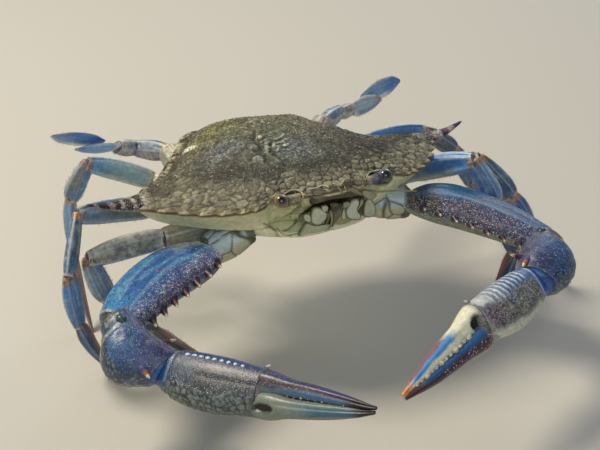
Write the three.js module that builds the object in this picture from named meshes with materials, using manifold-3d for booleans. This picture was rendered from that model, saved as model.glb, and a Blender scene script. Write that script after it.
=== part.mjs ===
// A blue swimming crab standing on its walking legs with both claws spread in front.
// Millimetres, +Z up. The crab faces -Y, and its own left side is +X.
// Its origin is on the floor, under the middle of its bounding box.
import * as THREE from 'three';
import { mergeVertices } from 'three/addons/utils/BufferGeometryUtils.js';
import Module from 'manifold-3d';

const wasm = await Module();
wasm.setup();

// Driving dimensions. Heights are measured from the level of the carapace's side margins.
const floorLevel = -63;      // where the feet stand
const gap = 0.32;            // left between pieces that touch
const sideMargin = 57;       // half width of the carapace between the bases of its side spines
const spineTip = 74.5;       // half width over the tips of the side spines
const frontEdge = -35.5;     // the frontal teeth
const rearEdge = 32;         // the posterior margin
const domeHeight = 11;       // crown of the carapace above its margin
const shellFloor = -11;      // where the carapace ends and the thorax begins
const sternumLevel = -23;    // lowest part of the thorax

// The crown of the carapace: its middle, and how square its section is.
const crown = { middle: [0, 3, 0], reach: 2.2, power: 0.95 };

// How the carapace's flanks fold under its edge, as [reach from the middle, drop] stops.
const flank = [[0.98, 2], [0.9, 6.5], [0.74, Infinity]];

// Half outline of the carapace from the middle of the front to the middle of the rear: x, y, z.
const margin = [
  [0, frontEdge, 3.4], [8.5, frontEdge + 1, 3.2], [12, -33, 2.6], [15, -30.5, 2.2], [22, -29.5, 1.4],
  [26.5, -32.5, 0.8], [33, -30.5, -0.6], [42, -24.5, -2], [50, -16.5, -3], [sideMargin, -7, -3.6],
  [sideMargin + 1, -1.5, -4], [50.5, 4.5, -4.8], [41, 10.5, -5.8], [33.5, 17, -6.4], [28.5, 25, -6.6],
  [23.5, rearEdge - 1, -6], [12, rearEdge, -5.2], [0, rearEdge, -5],
];

// The long spine on each side of the carapace, and how much lower the left one sits.
const sideSpine = {
  root: [sideMargin - 4, -3.6, -3.4], tip: [spineTip, -1.5, -0.8],
  breadth: [[0, 5], [0.35, 3], [1, 0.45]], flatness: 0.62, sag: 1.1, droop: 1.5,
};

// Teeth along the front sides, counted in margin stops, and the frontal teeth between the eyes.
const sideTeeth = { count: 8, first: 5.1, step: 0.56, height: 3.2, radius: 1.5 };
const frontTeeth = { places: [2.6, 7.4], level: 3.1, height: 2.6, radius: 1.3 };

// The left member of each pair at the front: ends, and half sizes across and up and down.
const face = {
  eye: {
    from: [11.5, -30.6, 1.2], to: [20.6, -31.6, 1.6], sides: 10, rings: 7,
    wide: [[0, 1.5], [0.5, 1.5], [0.75, 2.4], [1, 2]], deep: [[0, 1.4], [0.5, 1.4], [0.75, 2.3], [1, 1.9]],
  },
  maxilliped: {
    from: [6, -32, -4], to: [5.4, -30.5, -13], sides: 10, rings: 6,
    wide: [[0, 4], [0.3, 5.1], [0.8, 4.6], [1, 3]], deep: [[0, 1.1], [0.5, 1.5], [1, 1.1]],
  },
  antenna: {
    from: [12.5, -32.6, -2.2], to: [30, -37, -3.4], sides: 6, rings: 7,
    wide: [[0, 1.3], [0.15, 1.1], [0.3, 0.45], [1, 0.3]], deep: [[0, 1.2], [0.15, 1], [0.3, 0.45], [1, 0.3]],
  },
};

// The thorax from front to rear, and the abdomen folded under it from its root to its tip.
const thorax = {
  ends: [-31, 31], cap: 1.5,
  width: [[0, 15], [0.2, 25], [0.45, 31], [0.72, 31], [0.9, 26], [1, 18]],
  depth: [[0, 3], [0.12, 6], [0.3, 9.5], [0.6, shellFloor - sternumLevel], [0.85, 11], [1, 6]],
};
const flap = {
  ends: [27, -12], thickness: 1.5,
  width: [[0, 11], [0.25, 11.5], [0.4, 7], [0.8, 3.8], [1, 1.6]],
};

// Lengths of the limb segments, from the body outwards.
const lengths = {
  claw: [14.5, 50, 21, 36, 41],
  leg2: [19, 27, 17, 22, 28],
  leg3: [14.5, 33, 20, 21, 25],
  leg4: [12.5, 26, 16, 20, 30],
  swim: [9.5, 17, 11, 17, 23],
};

// Where each limb leaves the thorax.
const sockets = {
  claw: [23, -17, -15],
  leg2: [29, -6.5, -16],
  leg3: [31, 4, -15.5],
  leg4: [31, 14, -14],
  swim: [27, 24, -10],
};

// The stance: each segment's heading and pitch in degrees. Heading turns from straight out
// sideways (0) through forwards (90) to inwards (180). The last pitch of a walking leg follows
// from the floor.
const stance = {
  claw_R: [[-12, -24], [27, -3], [110, -24], [118, 9], [113, 15]],
  claw_L: [[35, 3], [50, -5], [137, -12], [159, 1], [158, -9]],
  leg2_R: [[-6, -6], [-3, -4], [-4, -111], [-10, -136], [-44, -155]],
  leg3_R: [[-13, 11], [11, 13], [52, -50], [20, -102], [9, -118]],
  leg4_R: [[-62, 5], [-8, 24], [-48, -65], [-69, -91], [-88, -121]],
  swim_R: [[-89, 17], [-72, -15], [24, 23], [6, 12], [14, 23]],
  leg2_L: [[6, 8], [63, 26], [35, -59], [32, -66], [48, -105]],
  leg3_L: [[17, -10], [36, 17], [24, -48], [16, -60], [19, -72]],
  leg4_L: [[-6, 14], [3, 0], [13, -34], [-5, -59], [-18, -59]],
  swim_L: [[-39, 17], [-36, -9], [-30, -14], [-13, -2], [-17, 1]],
};

// How far the breadth of a limb departs from its kind's.
const girth = { claw: 1, leg2: 1, leg3: 1, leg4: 0.88, swim: 1 };

// How far the two wrists bow outwards.
const wristBow = { R: -4.6, L: -2 };

// How far each arm arches up near its root.
const armLift = { R: 0, L: 2.4 };

// How the swimming legs' last two segments turn from upright, and where the paddle starts: part
// way along the blade before it, behind it, and above it.
const bladeRoll = { R: 45, L: 4 };
const paddleRoot = {
  R: { along: 0.35, behind: 2.6, above: -0.4 },
  L: { along: 0.5, behind: 2.6, above: 1.8 },
};

// How far the left hind edge of the carapace sits lower than the right one, and where along it.
const hindDroop = { drop: 4.6, at: 0.71, spread: 0.12 };

// Where the shell swells: over the gills, and over the roots of the swimming legs.
const swellings = {
  R: [{ rise: 0.8, x: 30, y: -2, spread: 160 }, { rise: 2.6, x: 23, y: 17, spread: 130 }],
  L: [{ rise: 0.8, x: 30, y: -2, spread: 160 }, { rise: 0.6, x: 23, y: 17, spread: 130 }],
};

// Spines of the claw leg: along the arm's inner edge, on the wrist, and at the end of the hand.
const armSpines = {
  merus: { from: 0.16, to: 0.95, count: 8, height: 4.6, radius: 1.5 },
  carpus: { from: 0.7, to: 0.7, count: 1, height: 5.4, radius: 1.8 },
  palm: { from: 0.97, to: 0.97, count: 1, height: 2.4, radius: 1.3 },
};

// The claw's two fingers part on either side of the hand's axis.
const fingers = {
  moving: { root: 2.2, tip: 0.62 },
  fixed: { root: 4, tip: 0.75, back: 5, breadth: [[0, 4.4], [0.25, 3.3], [0.7, 2.2], [1, 0.6]], bow: -0.9 },
};

// Sides and rings of each kind's segments.
const fineness = { claw: [10, 7], leg: [8, 5], swim: [8, 5] };

// Half breadth along each segment in mm, as [place along it, half breadth] stops; how thick the
// segment is for its breadth; how far its broad side turns from upright (0) towards the front and
// the middle (90); how far it bows towards that side; and how round its section is (2 is an ellipse).
const forms = {
  claw: [
    { breadth: [[0, 5], [0.5, 6.5], [1, 6]], thick: 0.95, roll: 40, bow: 0, round: 2.2 },
    {
      breadth: [[0, 5.6], [0.12, 9.6], [0.3, 11.5], [0.75, 10], [1, 7.2]],
      thick: 0.54, roll: 82, bow: -3.6, round: 2.3,
    },
    { breadth: [[0, 5.8], [0.3, 9], [0.7, 9.3], [1, 7]], thick: 0.84, roll: 60, bow: -3.6, round: 2.3 },
    { breadth: [[0, 5], [0.2, 7.6], [0.6, 8.5], [1, 6.8]], thick: 0.68, roll: 45, bow: -1, round: 2.4 },
    { breadth: [[0, 3.1], [0.3, 3.1], [0.7, 2.1], [1, 0.6]], thick: 0.8, roll: 45, bow: 0.2, round: 2 },
  ],
  leg: [
    { breadth: [[0, 4], [0.5, 4.6], [1, 3.6]], thick: 0.85, roll: 0, bow: 0, round: 2.2 },
    { breadth: [[0, 3.2], [0.2, 4.2], [0.7, 4.2], [1, 3]], thick: 0.55, roll: 0, bow: 0.6, round: 2.4 },
    { breadth: [[0, 2.6], [0.3, 3.4], [0.75, 3.8], [1, 3]], thick: 0.6, roll: 0, bow: 0.3, round: 2.4 },
    { breadth: [[0, 2.6], [0.25, 3.7], [0.65, 3.5], [1, 2.3]], thick: 0.48, roll: 0, bow: 0.4, round: 2.4 },
    { breadth: [[0, 2], [0.2, 2.6], [0.65, 1.7], [1, 0.75]], thick: 0.62, roll: 0, bow: 0.9, round: 2 },
  ],
  swim: [
    { breadth: [[0, 4], [0.5, 4.4], [1, 4]], thick: 0.9, roll: 0, bow: 0, round: 2.2 },
    { breadth: [[0, 3], [0.4, 3.9], [1, 3.2]], thick: 0.8, roll: 20, bow: 0, round: 2.3 },
    { breadth: [[0, 2.6], [0.5, 3.4], [1, 2.8]], thick: 0.72, roll: 30, bow: 0, round: 2.3 },
    { breadth: [[0, 2.4], [0.35, 4], [0.75, 3], [1, 0.9]], thick: 0.3, roll: 75, bow: 0, round: 2 },
    { breadth: [[0, 1.8], [0.35, 4.4], [0.75, 3.8], [1, 0.9]], thick: 0.2, roll: 75, bow: 0, round: 2 },
  ],
};

const radians = THREE.MathUtils.degToRad;

// Smooth value at t through a few [t, value] stops.
function through(stops, t) {
  let i = 0;
  while (i < stops.length - 2 && t > stops[i + 1][0]) i += 1;
  const slope = (a, b) => (stops[b][1] - stops[a][1]) / (stops[b][0] - stops[a][0]);
  const span = stops[i + 1][0] - stops[i][0];
  const u = THREE.MathUtils.clamp((t - stops[i][0]) / span, 0, 1);
  const leave = slope(Math.max(i - 1, 0), i + 1) * span;
  const arrive = slope(i, Math.min(i + 2, stops.length - 1)) * span;
  const v = 1 - u;
  return v * v * (1 + 2 * u) * stops[i][1] + u * v * v * leave
    + u * u * (3 - 2 * u) * stops[i + 1][1] - u * u * v * arrive;
}

const rounded = (value, power) => Math.sign(value) * Math.abs(value) ** (2 / power);

// Turns a closed shape's faces outwards where a mapping has turned them in.
function faceOut(shape) {
  const corners = shape.getIndex().array;
  const spots = shape.getAttribute('position');
  const [a, b, c] = [new THREE.Vector3(), new THREE.Vector3(), new THREE.Vector3()];
  let volume = 0;
  for (let i = 0; i < corners.length; i += 3) {
    a.fromBufferAttribute(spots, corners[i]);
    b.fromBufferAttribute(spots, corners[i + 1]);
    c.fromBufferAttribute(spots, corners[i + 2]);
    volume += a.dot(b.cross(c));
  }
  if (volume < 0) shape.setIndex(Array.from(corners).reverse());
  return shape;
}

// A closed skin: a sphere whose points are put where place(t, angle, reach) says. t runs from one
// pole to the other over its rings, and reach is 0 at the poles and 1 on the rings.
function skin(sides, rings, place) {
  const shape = new THREE.SphereGeometry(1, sides, rings);
  shape.deleteAttribute('uv');
  shape.deleteAttribute('normal');
  const merged = mergeVertices(shape, 1e-5);
  const spots = merged.getAttribute('position');
  for (let i = 0; i < spots.count; i += 1) {
    const ring = Math.round(Math.acos(THREE.MathUtils.clamp(spots.getY(i), -1, 1)) / Math.PI * rings);
    const reach = ring === 0 || ring === rings ? 0 : 1;
    const t = THREE.MathUtils.clamp((ring - 1) / (rings - 2), 0, 1);
    const spot = place(t, Math.atan2(spots.getZ(i), spots.getX(i)), reach);
    spots.setXYZ(i, spot.x, spot.y, spot.z);
  }
  return faceOut(merged);
}

function toSolid(shape) {
  const bare = shape.clone();
  bare.deleteAttribute('uv');
  bare.deleteAttribute('normal');
  const merged = mergeVertices(bare, 1e-5);
  return new wasm.Manifold(new wasm.Mesh({
    numProp: 3,
    vertProperties: new Float32Array(merged.getAttribute('position').array),
    triVerts: new Uint32Array(merged.getIndex().array),
  }));
}

function toMesh(name, solid, finish) {
  const result = solid.getMesh();
  const shape = new THREE.BufferGeometry();
  shape.setAttribute('position', new THREE.BufferAttribute(new Float32Array(result.vertProperties), 3));
  shape.setIndex(new THREE.BufferAttribute(new Uint32Array(result.triVerts), 1));
  shape.computeVertexNormals();
  const mesh = new THREE.Mesh(shape, new THREE.MeshStandardMaterial(finish));
  mesh.name = name;
  return mesh;
}

// The directions of a segment: along it, towards its broad side's edge, and across its thickness.
function directions(side, heading, pitch, roll) {
  const h = radians(heading);
  const p = radians(pitch);
  const r = radians(roll);
  const along = new THREE.Vector3(side * Math.cos(h) * Math.cos(p), -Math.sin(h) * Math.cos(p), Math.sin(p));
  const upper = new THREE.Vector3(-side * Math.cos(h) * Math.sin(p), Math.sin(h) * Math.sin(p), Math.cos(p));
  const inner = new THREE.Vector3(-side * Math.sin(h), -Math.cos(h), 0);
  const edge = upper.multiplyScalar(Math.cos(r)).addScaledVector(inner, Math.sin(r));
  return { along, edge, across: along.clone().cross(edge) };
}

// A limb's segments as places and directions, from the thorax outwards.
function layLimb(name) {
  const [kind, sideName] = name.split('_');
  const side = sideName === 'L' ? 1 : -1;
  const form = forms[kind.startsWith('leg') ? 'leg' : kind];
  let start = new THREE.Vector3(side * sockets[kind][0], sockets[kind][1], sockets[kind][2]);
  return stance[name].map(([heading, pitch], i) => {
    const length = lengths[kind][i];
    const onFloor = i === 4 && kind.startsWith('leg');
    let tilt = pitch;
    if (onFloor) {
      const drop = Math.asin((start.z - floorLevel) / length) / radians(1);
      tilt = pitch < -90 ? drop - 180 : -drop;
    }
    const shape = { ...form[i], breadth: form[i].breadth.map(([at, wide]) => [at, wide * girth[kind]]) };
    if (kind === 'claw' && i === 1) shape.lift = armLift[sideName];
    if (kind === 'claw' && i === 2) shape.bow = wristBow[sideName];
    if (kind === 'swim' && i > 2) shape.roll = bladeRoll[sideName];
    const way = directions(side, heading, tilt, shape.roll);
    const end = start.clone().addScaledVector(way.along, length);
    const segment = { ...way, start, end, form: shape, onFloor };
    start = end;
    return segment;
  });
}

// The skin of one segment, larger by grow all round.
function segmentShape(segment, sides, rings, grow) {
  const { start, end, along, edge, across, form, onFloor } = segment;
  return skin(sides, rings, (t, angle, reach) => {
    const half = through(form.breadth, t);
    const spot = start.clone().lerp(end, t);
    spot.addScaledVector(edge, form.bow * Math.sin(Math.PI * t));
    spot.z += (form.lift || 0) * Math.sin(Math.PI * Math.sqrt(t));
    spot.addScaledVector(edge, reach * (half + grow) * rounded(Math.cos(angle), form.round));
    spot.addScaledVector(across, reach * (half * form.thick + grow) * rounded(Math.sin(angle), form.round));
    const cap = (1 - reach) * half * 0.55 + grow;
    if (t === 0) spot.addScaledVector(along, -cap);
    if (t === 1 && !onFloor) spot.addScaledVector(along, cap);
    if (t === 1 && onFloor) spot.addScaledVector(along, (floorLevel - spot.z) / along.z);
    return spot;
  });
}

// A cone that grows from a surface point, for spines and teeth.
function spine(foot, way, height, radius, sides = 5) {
  const shape = new THREE.ConeGeometry(radius, height, sides);
  shape.translate(0, height / 2 - radius * 0.6, 0);
  shape.applyQuaternion(new THREE.Quaternion().setFromUnitVectors(new THREE.Vector3(0, 1, 0), way));
  shape.translate(foot.x, foot.y, foot.z);
  return toSolid(shape);
}

const half = new THREE.CatmullRomCurve3(margin.map((spot) => new THREE.Vector3(...spot)));

// A point of the carapace's edge; turn runs round the whole outline from the middle of the front.
function marginPoint(turn) {
  const side = turn < 0 ? -1 : 1;
  const part = Math.min(Math.abs(turn) / Math.PI, 1);
  const spot = half.getPoint(part);
  const { drop, at, spread } = hindDroop;
  const droop = side > 0 ? drop * Math.exp(-(((part - at) / spread) ** 2)) : 0;
  return new THREE.Vector3(side * spot.x, spot.y, spot.z - droop);
}

// The carapace: a domed shell whose flanks fold under, with its teeth and two long side spines.
function carapaceSolid() {
  const domeRings = 5;
  const rings = domeRings + flank.length + 1;
  const middle = new THREE.Vector3(...crown.middle);
  const shape = skin(44, rings, (t, angle, reach) => {
    const edge = marginPoint(angle);
    const ring = reach ? Math.round(t * (rings - 2)) + 1 : (t < 0.5 ? 0 : rings);
    if (ring <= domeRings) {
      const out = Math.sin(Math.PI / 2 * ring / domeRings);
      const spot = middle.clone().lerp(edge, out);
      const swelling = swellings[spot.x > 0 ? 'L' : 'R'].reduce((sum, { rise, x, y, spread }) => sum
        + rise * Math.exp(-((Math.abs(spot.x) - x) ** 2 + (spot.y - y) ** 2) / spread), 0);
      spot.z = edge.z * out ** 2 + domeHeight * (1 - out ** crown.reach) ** crown.power
        + swelling * (1 - out ** 6);
      return spot;
    }
    const [out, drop] = ring < rings ? flank[ring - domeRings - 1] : [0, Infinity];
    const spot = middle.clone().lerp(edge, out);
    spot.z = Math.max(edge.z - drop, shellFloor);
    return spot;
  });
  const pieces = [toSolid(shape)];
  for (const side of [-1, 1]) {
    const droop = side > 0 ? sideSpine.droop : 0;
    const mirrored = ([x, y, z], low) => new THREE.Vector3(side * x, y, z - low);
    const root = mirrored(sideSpine.root, droop);
    const tip = mirrored(sideSpine.tip, droop / 2);
    pieces.push(toSolid(skin(8, 6, (t, angle, reach) => {
      const spot = root.clone().lerp(tip, t);
      const wide = reach * through(sideSpine.breadth, t);
      spot.y += wide * Math.cos(angle);
      spot.z += wide * sideSpine.flatness * Math.sin(angle) - sideSpine.sag * Math.sin(Math.PI * t);
      return spot;
    })));
    for (let i = 0; i < sideTeeth.count; i += 1) {
      const foot = marginPoint(side * Math.PI * (sideTeeth.first + i * sideTeeth.step) / (margin.length - 1));
      const way = new THREE.Vector3(side * (0.45 + 0.07 * i), -0.9 + 0.07 * i, 0.12).normalize();
      pieces.push(spine(foot, way, sideTeeth.height, sideTeeth.radius, 4));
    }
    for (const x of frontTeeth.places) {
      const foot = new THREE.Vector3(side * x, frontEdge + 1, frontTeeth.level);
      pieces.push(spine(foot, new THREE.Vector3(0, -1, 0), frontTeeth.height, frontTeeth.radius, 4));
    }
  }
  return pieces.reduce((whole, piece) => whole.add(piece));
}

// One of a pair at the front of the body, larger by grow all round.
function faceShape(form, side, grow) {
  const start = new THREE.Vector3(side * form.from[0], form.from[1], form.from[2]);
  const end = new THREE.Vector3(side * form.to[0], form.to[1], form.to[2]);
  const along = end.clone().sub(start).normalize();
  const across = new THREE.Vector3(0, 0, 1).cross(along);
  if (Math.abs(along.z) > 0.9) across.set(1, 0, 0);
  across.normalize();
  const other = along.clone().cross(across);
  return skin(form.sides, form.rings, (t, angle, reach) => {
    const spot = start.clone().lerp(end, t);
    const wide = through(form.wide, t);
    const deep = through(form.deep, t);
    spot.addScaledVector(across, reach * (wide + grow) * rounded(Math.cos(angle), 2.3));
    spot.addScaledVector(other, reach * (deep + grow) * rounded(Math.sin(angle), 2.3));
    const cap = (1 - reach) * Math.min(wide, deep) * 0.6 + grow;
    return spot.addScaledVector(along, t === 0 ? -cap : t === 1 ? cap : 0);
  });
}

// The thorax: flat on top under the carapace, and a rounded breast plate below.
function thoraxShape() {
  const [front, rear] = thorax.ends;
  return skin(16, 9, (t, angle, reach) => {
    const y = front + (rear - front) * t + (1 - reach) * (t === 0 ? -thorax.cap : thorax.cap);
    const x = reach * through(thorax.width, t) * rounded(Math.cos(angle), 3);
    const sunk = reach ? Math.min(Math.sin(angle), 0) : -0.4;
    const z = shellFloor - gap - through(thorax.depth, t) * Math.abs(rounded(sunk, 2.6))
      - 0.02 * (1 - Math.max(Math.sin(angle), 0));
    return new THREE.Vector3(x, y, z);
  });
}

// The abdomen: a narrowing flap that follows the breast plate from the rear forwards.
function abdomenShape(grow) {
  const [front, rear] = thorax.ends;
  const [root, tip] = flap.ends;
  return skin(10, 8, (t, angle, reach) => {
    const y = root + (tip - root) * t + (1 - reach + grow) * (t === 0 ? 1 : t === 1 ? -1 : 0);
    const depth = through(thorax.depth, (y - front) / (rear - front));
    const x = reach * (through(flap.width, t) + grow) * rounded(Math.cos(angle), 2.3);
    const thick = reach * (flap.thickness + grow) * rounded(Math.sin(angle), 2.3);
    return new THREE.Vector3(x, y, shellFloor - gap - depth + thick);
  });
}

const finishes = {
  shell: { color: 0x6f6a54, roughness: 0.7, metalness: 0 },
  belly: { color: 0xb9bda4, roughness: 0.5, metalness: 0 },
  claw: { color: 0x3d5fa3, roughness: 0.45, metalness: 0 },
  finger: { color: 0x3b4f9b, roughness: 0.4, metalness: 0 },
  leg: { color: 0x4478a8, roughness: 0.45, metalness: 0 },
  eye: { color: 0x17140f, roughness: 0.15, metalness: 0 },
  feeler: { color: 0x8d7f5c, roughness: 0.6, metalness: 0 },
};

const solids = new Map();
const finishOf = new Map();
const put = (name, solid, finish) => {
  solids.set(name, solid);
  finishOf.set(name, finish);
};
const cut = (name, cutter) => solids.set(name, solids.get(name).subtract(cutter));

const segmentNames = {
  claw: ['ischium', 'merus', 'carpus', 'palm', 'dactyl'],
  leg: ['ischium', 'merus', 'carpus', 'propodus', 'dactyl'],
  swim: ['ischium', 'merus', 'carpus', 'propodus', 'paddle'],
};

function spineRow(segment, { from, to, count, height, radius }) {
  const { start, end, along, edge, form } = segment;
  return Array.from({ length: count }, (_, i) => {
    const t = from + (to - from) * i / Math.max(count - 1, 1);
    const foot = start.clone().lerp(end, t);
    foot.addScaledVector(edge, through(form.breadth, t) + form.bow * Math.sin(Math.PI * t));
    foot.z += (form.lift || 0) * Math.sin(Math.PI * Math.sqrt(t));
    const way = edge.clone().addScaledVector(along, 0.45).normalize();
    return spine(foot, way, height, radius);
  });
}

const limbs = new Map();
for (const name of Object.keys(stance)) {
  const [kind, sideName] = name.split('_');
  const family = kind.startsWith('leg') ? 'leg' : kind;
  const segments = layLimb(name);
  const [sides, rings] = fineness[family];
  const shapeOf = (segment, grow) => toSolid(segmentShape(segment, sides, rings, grow));
  if (family === 'claw') {
    const finger = segments[4];
    const fixed = { ...finger, form: { ...finger.form, ...fingers.fixed } };
    fixed.start = finger.start.clone().addScaledVector(finger.edge, -fingers.fixed.root)
      .addScaledVector(finger.along, -fingers.fixed.back);
    fixed.end = finger.end.clone().addScaledVector(finger.edge, -fingers.fixed.tip);
    finger.start = finger.start.clone().addScaledVector(finger.edge, fingers.moving.root);
    finger.end = finger.end.clone().addScaledVector(finger.edge, fingers.moving.tip);
    segments[3].extra = [shapeOf(fixed, 0), ...spineRow(segments[3], armSpines.palm)];
    segments[1].extra = spineRow(segments[1], armSpines.merus);
    segments[2].extra = spineRow(segments[2], armSpines.carpus);
  }
  if (family === 'swim') {
    const [, , , blade, paddle] = segments;
    const root = paddleRoot[sideName];
    const shift = blade.start.clone().lerp(blade.end, root.along).sub(paddle.start);
    shift.addScaledVector(blade.across, sideName === 'L' ? -root.behind : root.behind);
    shift.z += root.above;
    paddle.start = paddle.start.clone().add(shift);
    paddle.end = paddle.end.clone().add(shift);
  }
  segments.forEach((segment, i) => {
    const node = `${kind}_${sideName}_${segmentNames[family][i]}`;
    const whole = (segment.extra || []).reduce((sum, part) => sum.add(part), shapeOf(segment, 0));
    const next = segments[i + 1];
    const paint = family === 'claw' ? (i > 3 ? 'finger' : 'claw') : 'leg';
    put(node, next ? whole.subtract(shapeOf(next, gap)) : whole, finishes[paint]);
    segment.fuller = shapeOf(segment, gap);
  });
  limbs.set(name, segments);
}

put('carapace', carapaceSolid(), finishes.shell);
put('thorax', toSolid(thoraxShape()), finishes.belly);

// Each piece at the front is let into the shell, and each limb's root into the thorax.
const order = ['claw', 'leg2', 'leg3', 'leg4', 'swim'];
for (const [sideName, side] of [['R', -1], ['L', 1]]) {
  const faceSolid = (kind, grow) => toSolid(faceShape(face[kind], side, grow));
  put(`eye_${sideName}`, faceSolid('eye', 0), finishes.eye);
  put(`maxilliped_${sideName}`, faceSolid('maxilliped', 0), finishes.belly);
  put(`antenna_${sideName}`, faceSolid('antenna', 0), finishes.feeler);
  cut('carapace', faceSolid('eye', gap));
  cut('carapace', faceSolid('maxilliped', gap));
  cut('thorax', faceSolid('maxilliped', gap));
  order.forEach((kind, i) => {
    const [root, next] = limbs.get(`${kind}_${sideName}`);
    cut('thorax', root.fuller);
    cut('carapace', root.fuller);
    cut('carapace', next.fuller);
    if (i > 0) cut(`${kind}_${sideName}_ischium`, limbs.get(`${order[i - 1]}_${sideName}`)[0].fuller);
  });
}

put('abdomen', toSolid(abdomenShape(0)), finishes.belly);
cut('thorax', toSolid(abdomenShape(gap)));

const crab = new THREE.Group();
for (const [name, solid] of solids) crab.add(toMesh(name, solid, finishOf.get(name)));
const box = new THREE.Box3().setFromObject(crab);
const middle = box.getCenter(new THREE.Vector3());
crab.position.set(-middle.x, -middle.y, -floorLevel);
const model = new THREE.Group();
model.add(crab);

export default model;
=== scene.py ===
import itertools
import math

import bpy
import numpy as np
from mathutils import Matrix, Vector
from mathutils.bvhtree import BVHTree


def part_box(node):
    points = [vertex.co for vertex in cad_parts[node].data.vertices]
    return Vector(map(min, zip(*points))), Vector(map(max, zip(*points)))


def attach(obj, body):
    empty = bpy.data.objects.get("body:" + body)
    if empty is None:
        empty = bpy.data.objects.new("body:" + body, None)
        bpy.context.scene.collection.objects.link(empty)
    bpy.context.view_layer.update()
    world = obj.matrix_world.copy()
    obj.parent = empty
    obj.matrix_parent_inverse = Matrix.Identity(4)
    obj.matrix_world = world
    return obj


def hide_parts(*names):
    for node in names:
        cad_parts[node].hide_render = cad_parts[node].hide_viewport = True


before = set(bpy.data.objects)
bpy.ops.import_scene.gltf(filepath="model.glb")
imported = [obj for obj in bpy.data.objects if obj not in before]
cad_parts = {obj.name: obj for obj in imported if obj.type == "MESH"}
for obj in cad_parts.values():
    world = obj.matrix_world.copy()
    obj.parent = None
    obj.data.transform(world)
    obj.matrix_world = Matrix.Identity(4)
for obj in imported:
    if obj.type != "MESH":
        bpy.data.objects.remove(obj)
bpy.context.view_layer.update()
print("frame loaded")

# A blue swimming crab, still, on its walking legs. Shapes are worked out in millimetres from
# the body's own middle: +x to its left, -y to its front, z from the carapace's side margins.
body = {
    "floorLevel": -63.0,       # where the feet stand
    "abdomenMiddle": 7.5,      # y of the folded abdomen's middle
}
abdomenLow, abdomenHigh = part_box("abdomen")
bodyPlace = np.array([
    (abdomenLow.x + abdomenHigh.x) * 500,
    (abdomenLow.y + abdomenHigh.y) * 500 - body["abdomenMiddle"],
    -body["floorLevel"],
])
sides = {"R": -1, "L": 1}
sideWords = {"R": "right", "L": "left"}


# Arithmetic on stops, directions and places.

def through(stops, t):
    places, values = np.array(stops, float).T
    t = np.asarray(t, float)
    i = np.clip(np.searchsorted(places, t, side="left") - 1, 0, len(places) - 2)
    before, after = np.maximum(i - 1, 0), np.minimum(i + 2, len(places) - 1)
    span = places[i + 1] - places[i]
    u = np.clip((t - places[i]) / span, 0, 1)
    v = 1 - u
    leave = (values[i + 1] - values[before]) / (places[i + 1] - places[before]) * span
    arrive = (values[after] - values[i]) / (places[after] - places[i]) * span
    return (v * v * (1 + 2 * u) * values[i] + u * v * v * leave
            + u * u * (3 - 2 * u) * values[i + 1] - u * u * v * arrive)


def rounded(value, power):
    return np.sign(value) * np.abs(value) ** (2 / power)


def unit(vector):
    return vector / np.maximum(np.linalg.norm(vector, axis=-1, keepdims=True), 1e-9)


def step(low, high, value):
    u = np.clip((value - low) / (high - low), 0, 1)
    return u * u * (3 - 2 * u)


def bell(value, middle, spread):
    return np.exp(-((value - middle) / spread) ** 2)


def stretch(value, low, high, soft):
    return step(low - soft, low + soft, value) * (1 - step(high - soft, high + soft, value))


def mix(a, b, share):
    return a + (b - a) * share


# Repeatable unevenness: soft grain, and a pattern of cells like a cracked or pebbled surface.

def hashed(cell, seed):
    mixed = (cell[..., 0] * 73856093) ^ (cell[..., 1] * 19349663) ^ (cell[..., 2] * 83492791)
    mixed = mixed ^ (seed * 40503 + 977)
    mixed = ((mixed ^ (mixed >> 13)) * 1274126177) & 0x7FFFFFFF
    return ((mixed ^ (mixed >> 16)) & 0xFFFFFF) / 0xFFFFFF


def grain(points, size, seed=1):
    place = points / size
    cell = np.floor(place).astype(np.int64)
    u = place - cell
    u = u * u * (3 - 2 * u)
    total = 0
    for corner in itertools.product((0, 1), repeat=3):
        share = np.prod(np.where(corner, u, 1 - u), axis=-1)
        total = total + share * hashed(cell + np.array(corner), seed)
    return total


def cloud(points, size, seed=1):
    return (grain(points, size, seed) * 0.55 + grain(points, size / 2.1, seed + 7) * 0.3
            + grain(points, size / 4.3, seed + 13) * 0.15)


def flecks(points, size, seed):
    # One number from 0 to 1 for each small cube of space.
    return hashed(np.floor(points / size).astype(np.int64), seed)


def pebbles(points, size, seed=1):
    # How far each point is from a seam between cells, its cell's own number, and how far it is
    # from its cell's middle.
    place = points / size
    cell = np.floor(place).astype(np.int64)
    first = np.full(place.shape[:-1], 9.0)
    second = first.copy()
    own = np.zeros_like(first)
    for corner in itertools.product((-1, 0, 1), repeat=3):
        near = cell + np.array(corner)
        spot = near + np.stack([hashed(near, seed + k) for k in range(3)], -1)
        away = np.linalg.norm(place - spot, axis=-1)
        closer = away < first
        second = np.where(closer, first, np.minimum(second, away))
        own = np.where(closer, hashed(near, seed + 3), own)
        first = np.minimum(first, away)
    return second - first, own, first


def toLinear(hexColour):
    value = np.array([int(hexColour[i:i + 2], 16) / 255 for i in (1, 3, 5)])
    return np.where(value <= 0.04045, value / 12.92, ((value + 0.055) / 1.055) ** 2.4)


# A shape is a dictionary of arrays: its points, its faces, and what is painted on each point.

def normalsOf(shape):
    normals = np.zeros_like(shape["spots"])
    for faces in (shape["tris"], shape["quads"]):
        corners = shape["spots"][faces]
        turn = np.cross(corners[:, 2] - corners[:, 0], corners[:, -1] - corners[:, 1])
        for i in range(faces.shape[1]):
            np.add.at(normals, faces[:, i], turn)
    return unit(normals)


def colourAll(shape, hexColour, gloss=0.5):
    count = len(shape["spots"])
    shape["paint"] = np.tile(toLinear(hexColour), (count, 1))
    shape["gloss"] = np.full(count, gloss)
    shape["cells"] = np.ones(count)


def roundTurns(count):
    return np.arange(count)[None, :] / count * 2 * math.pi


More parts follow.
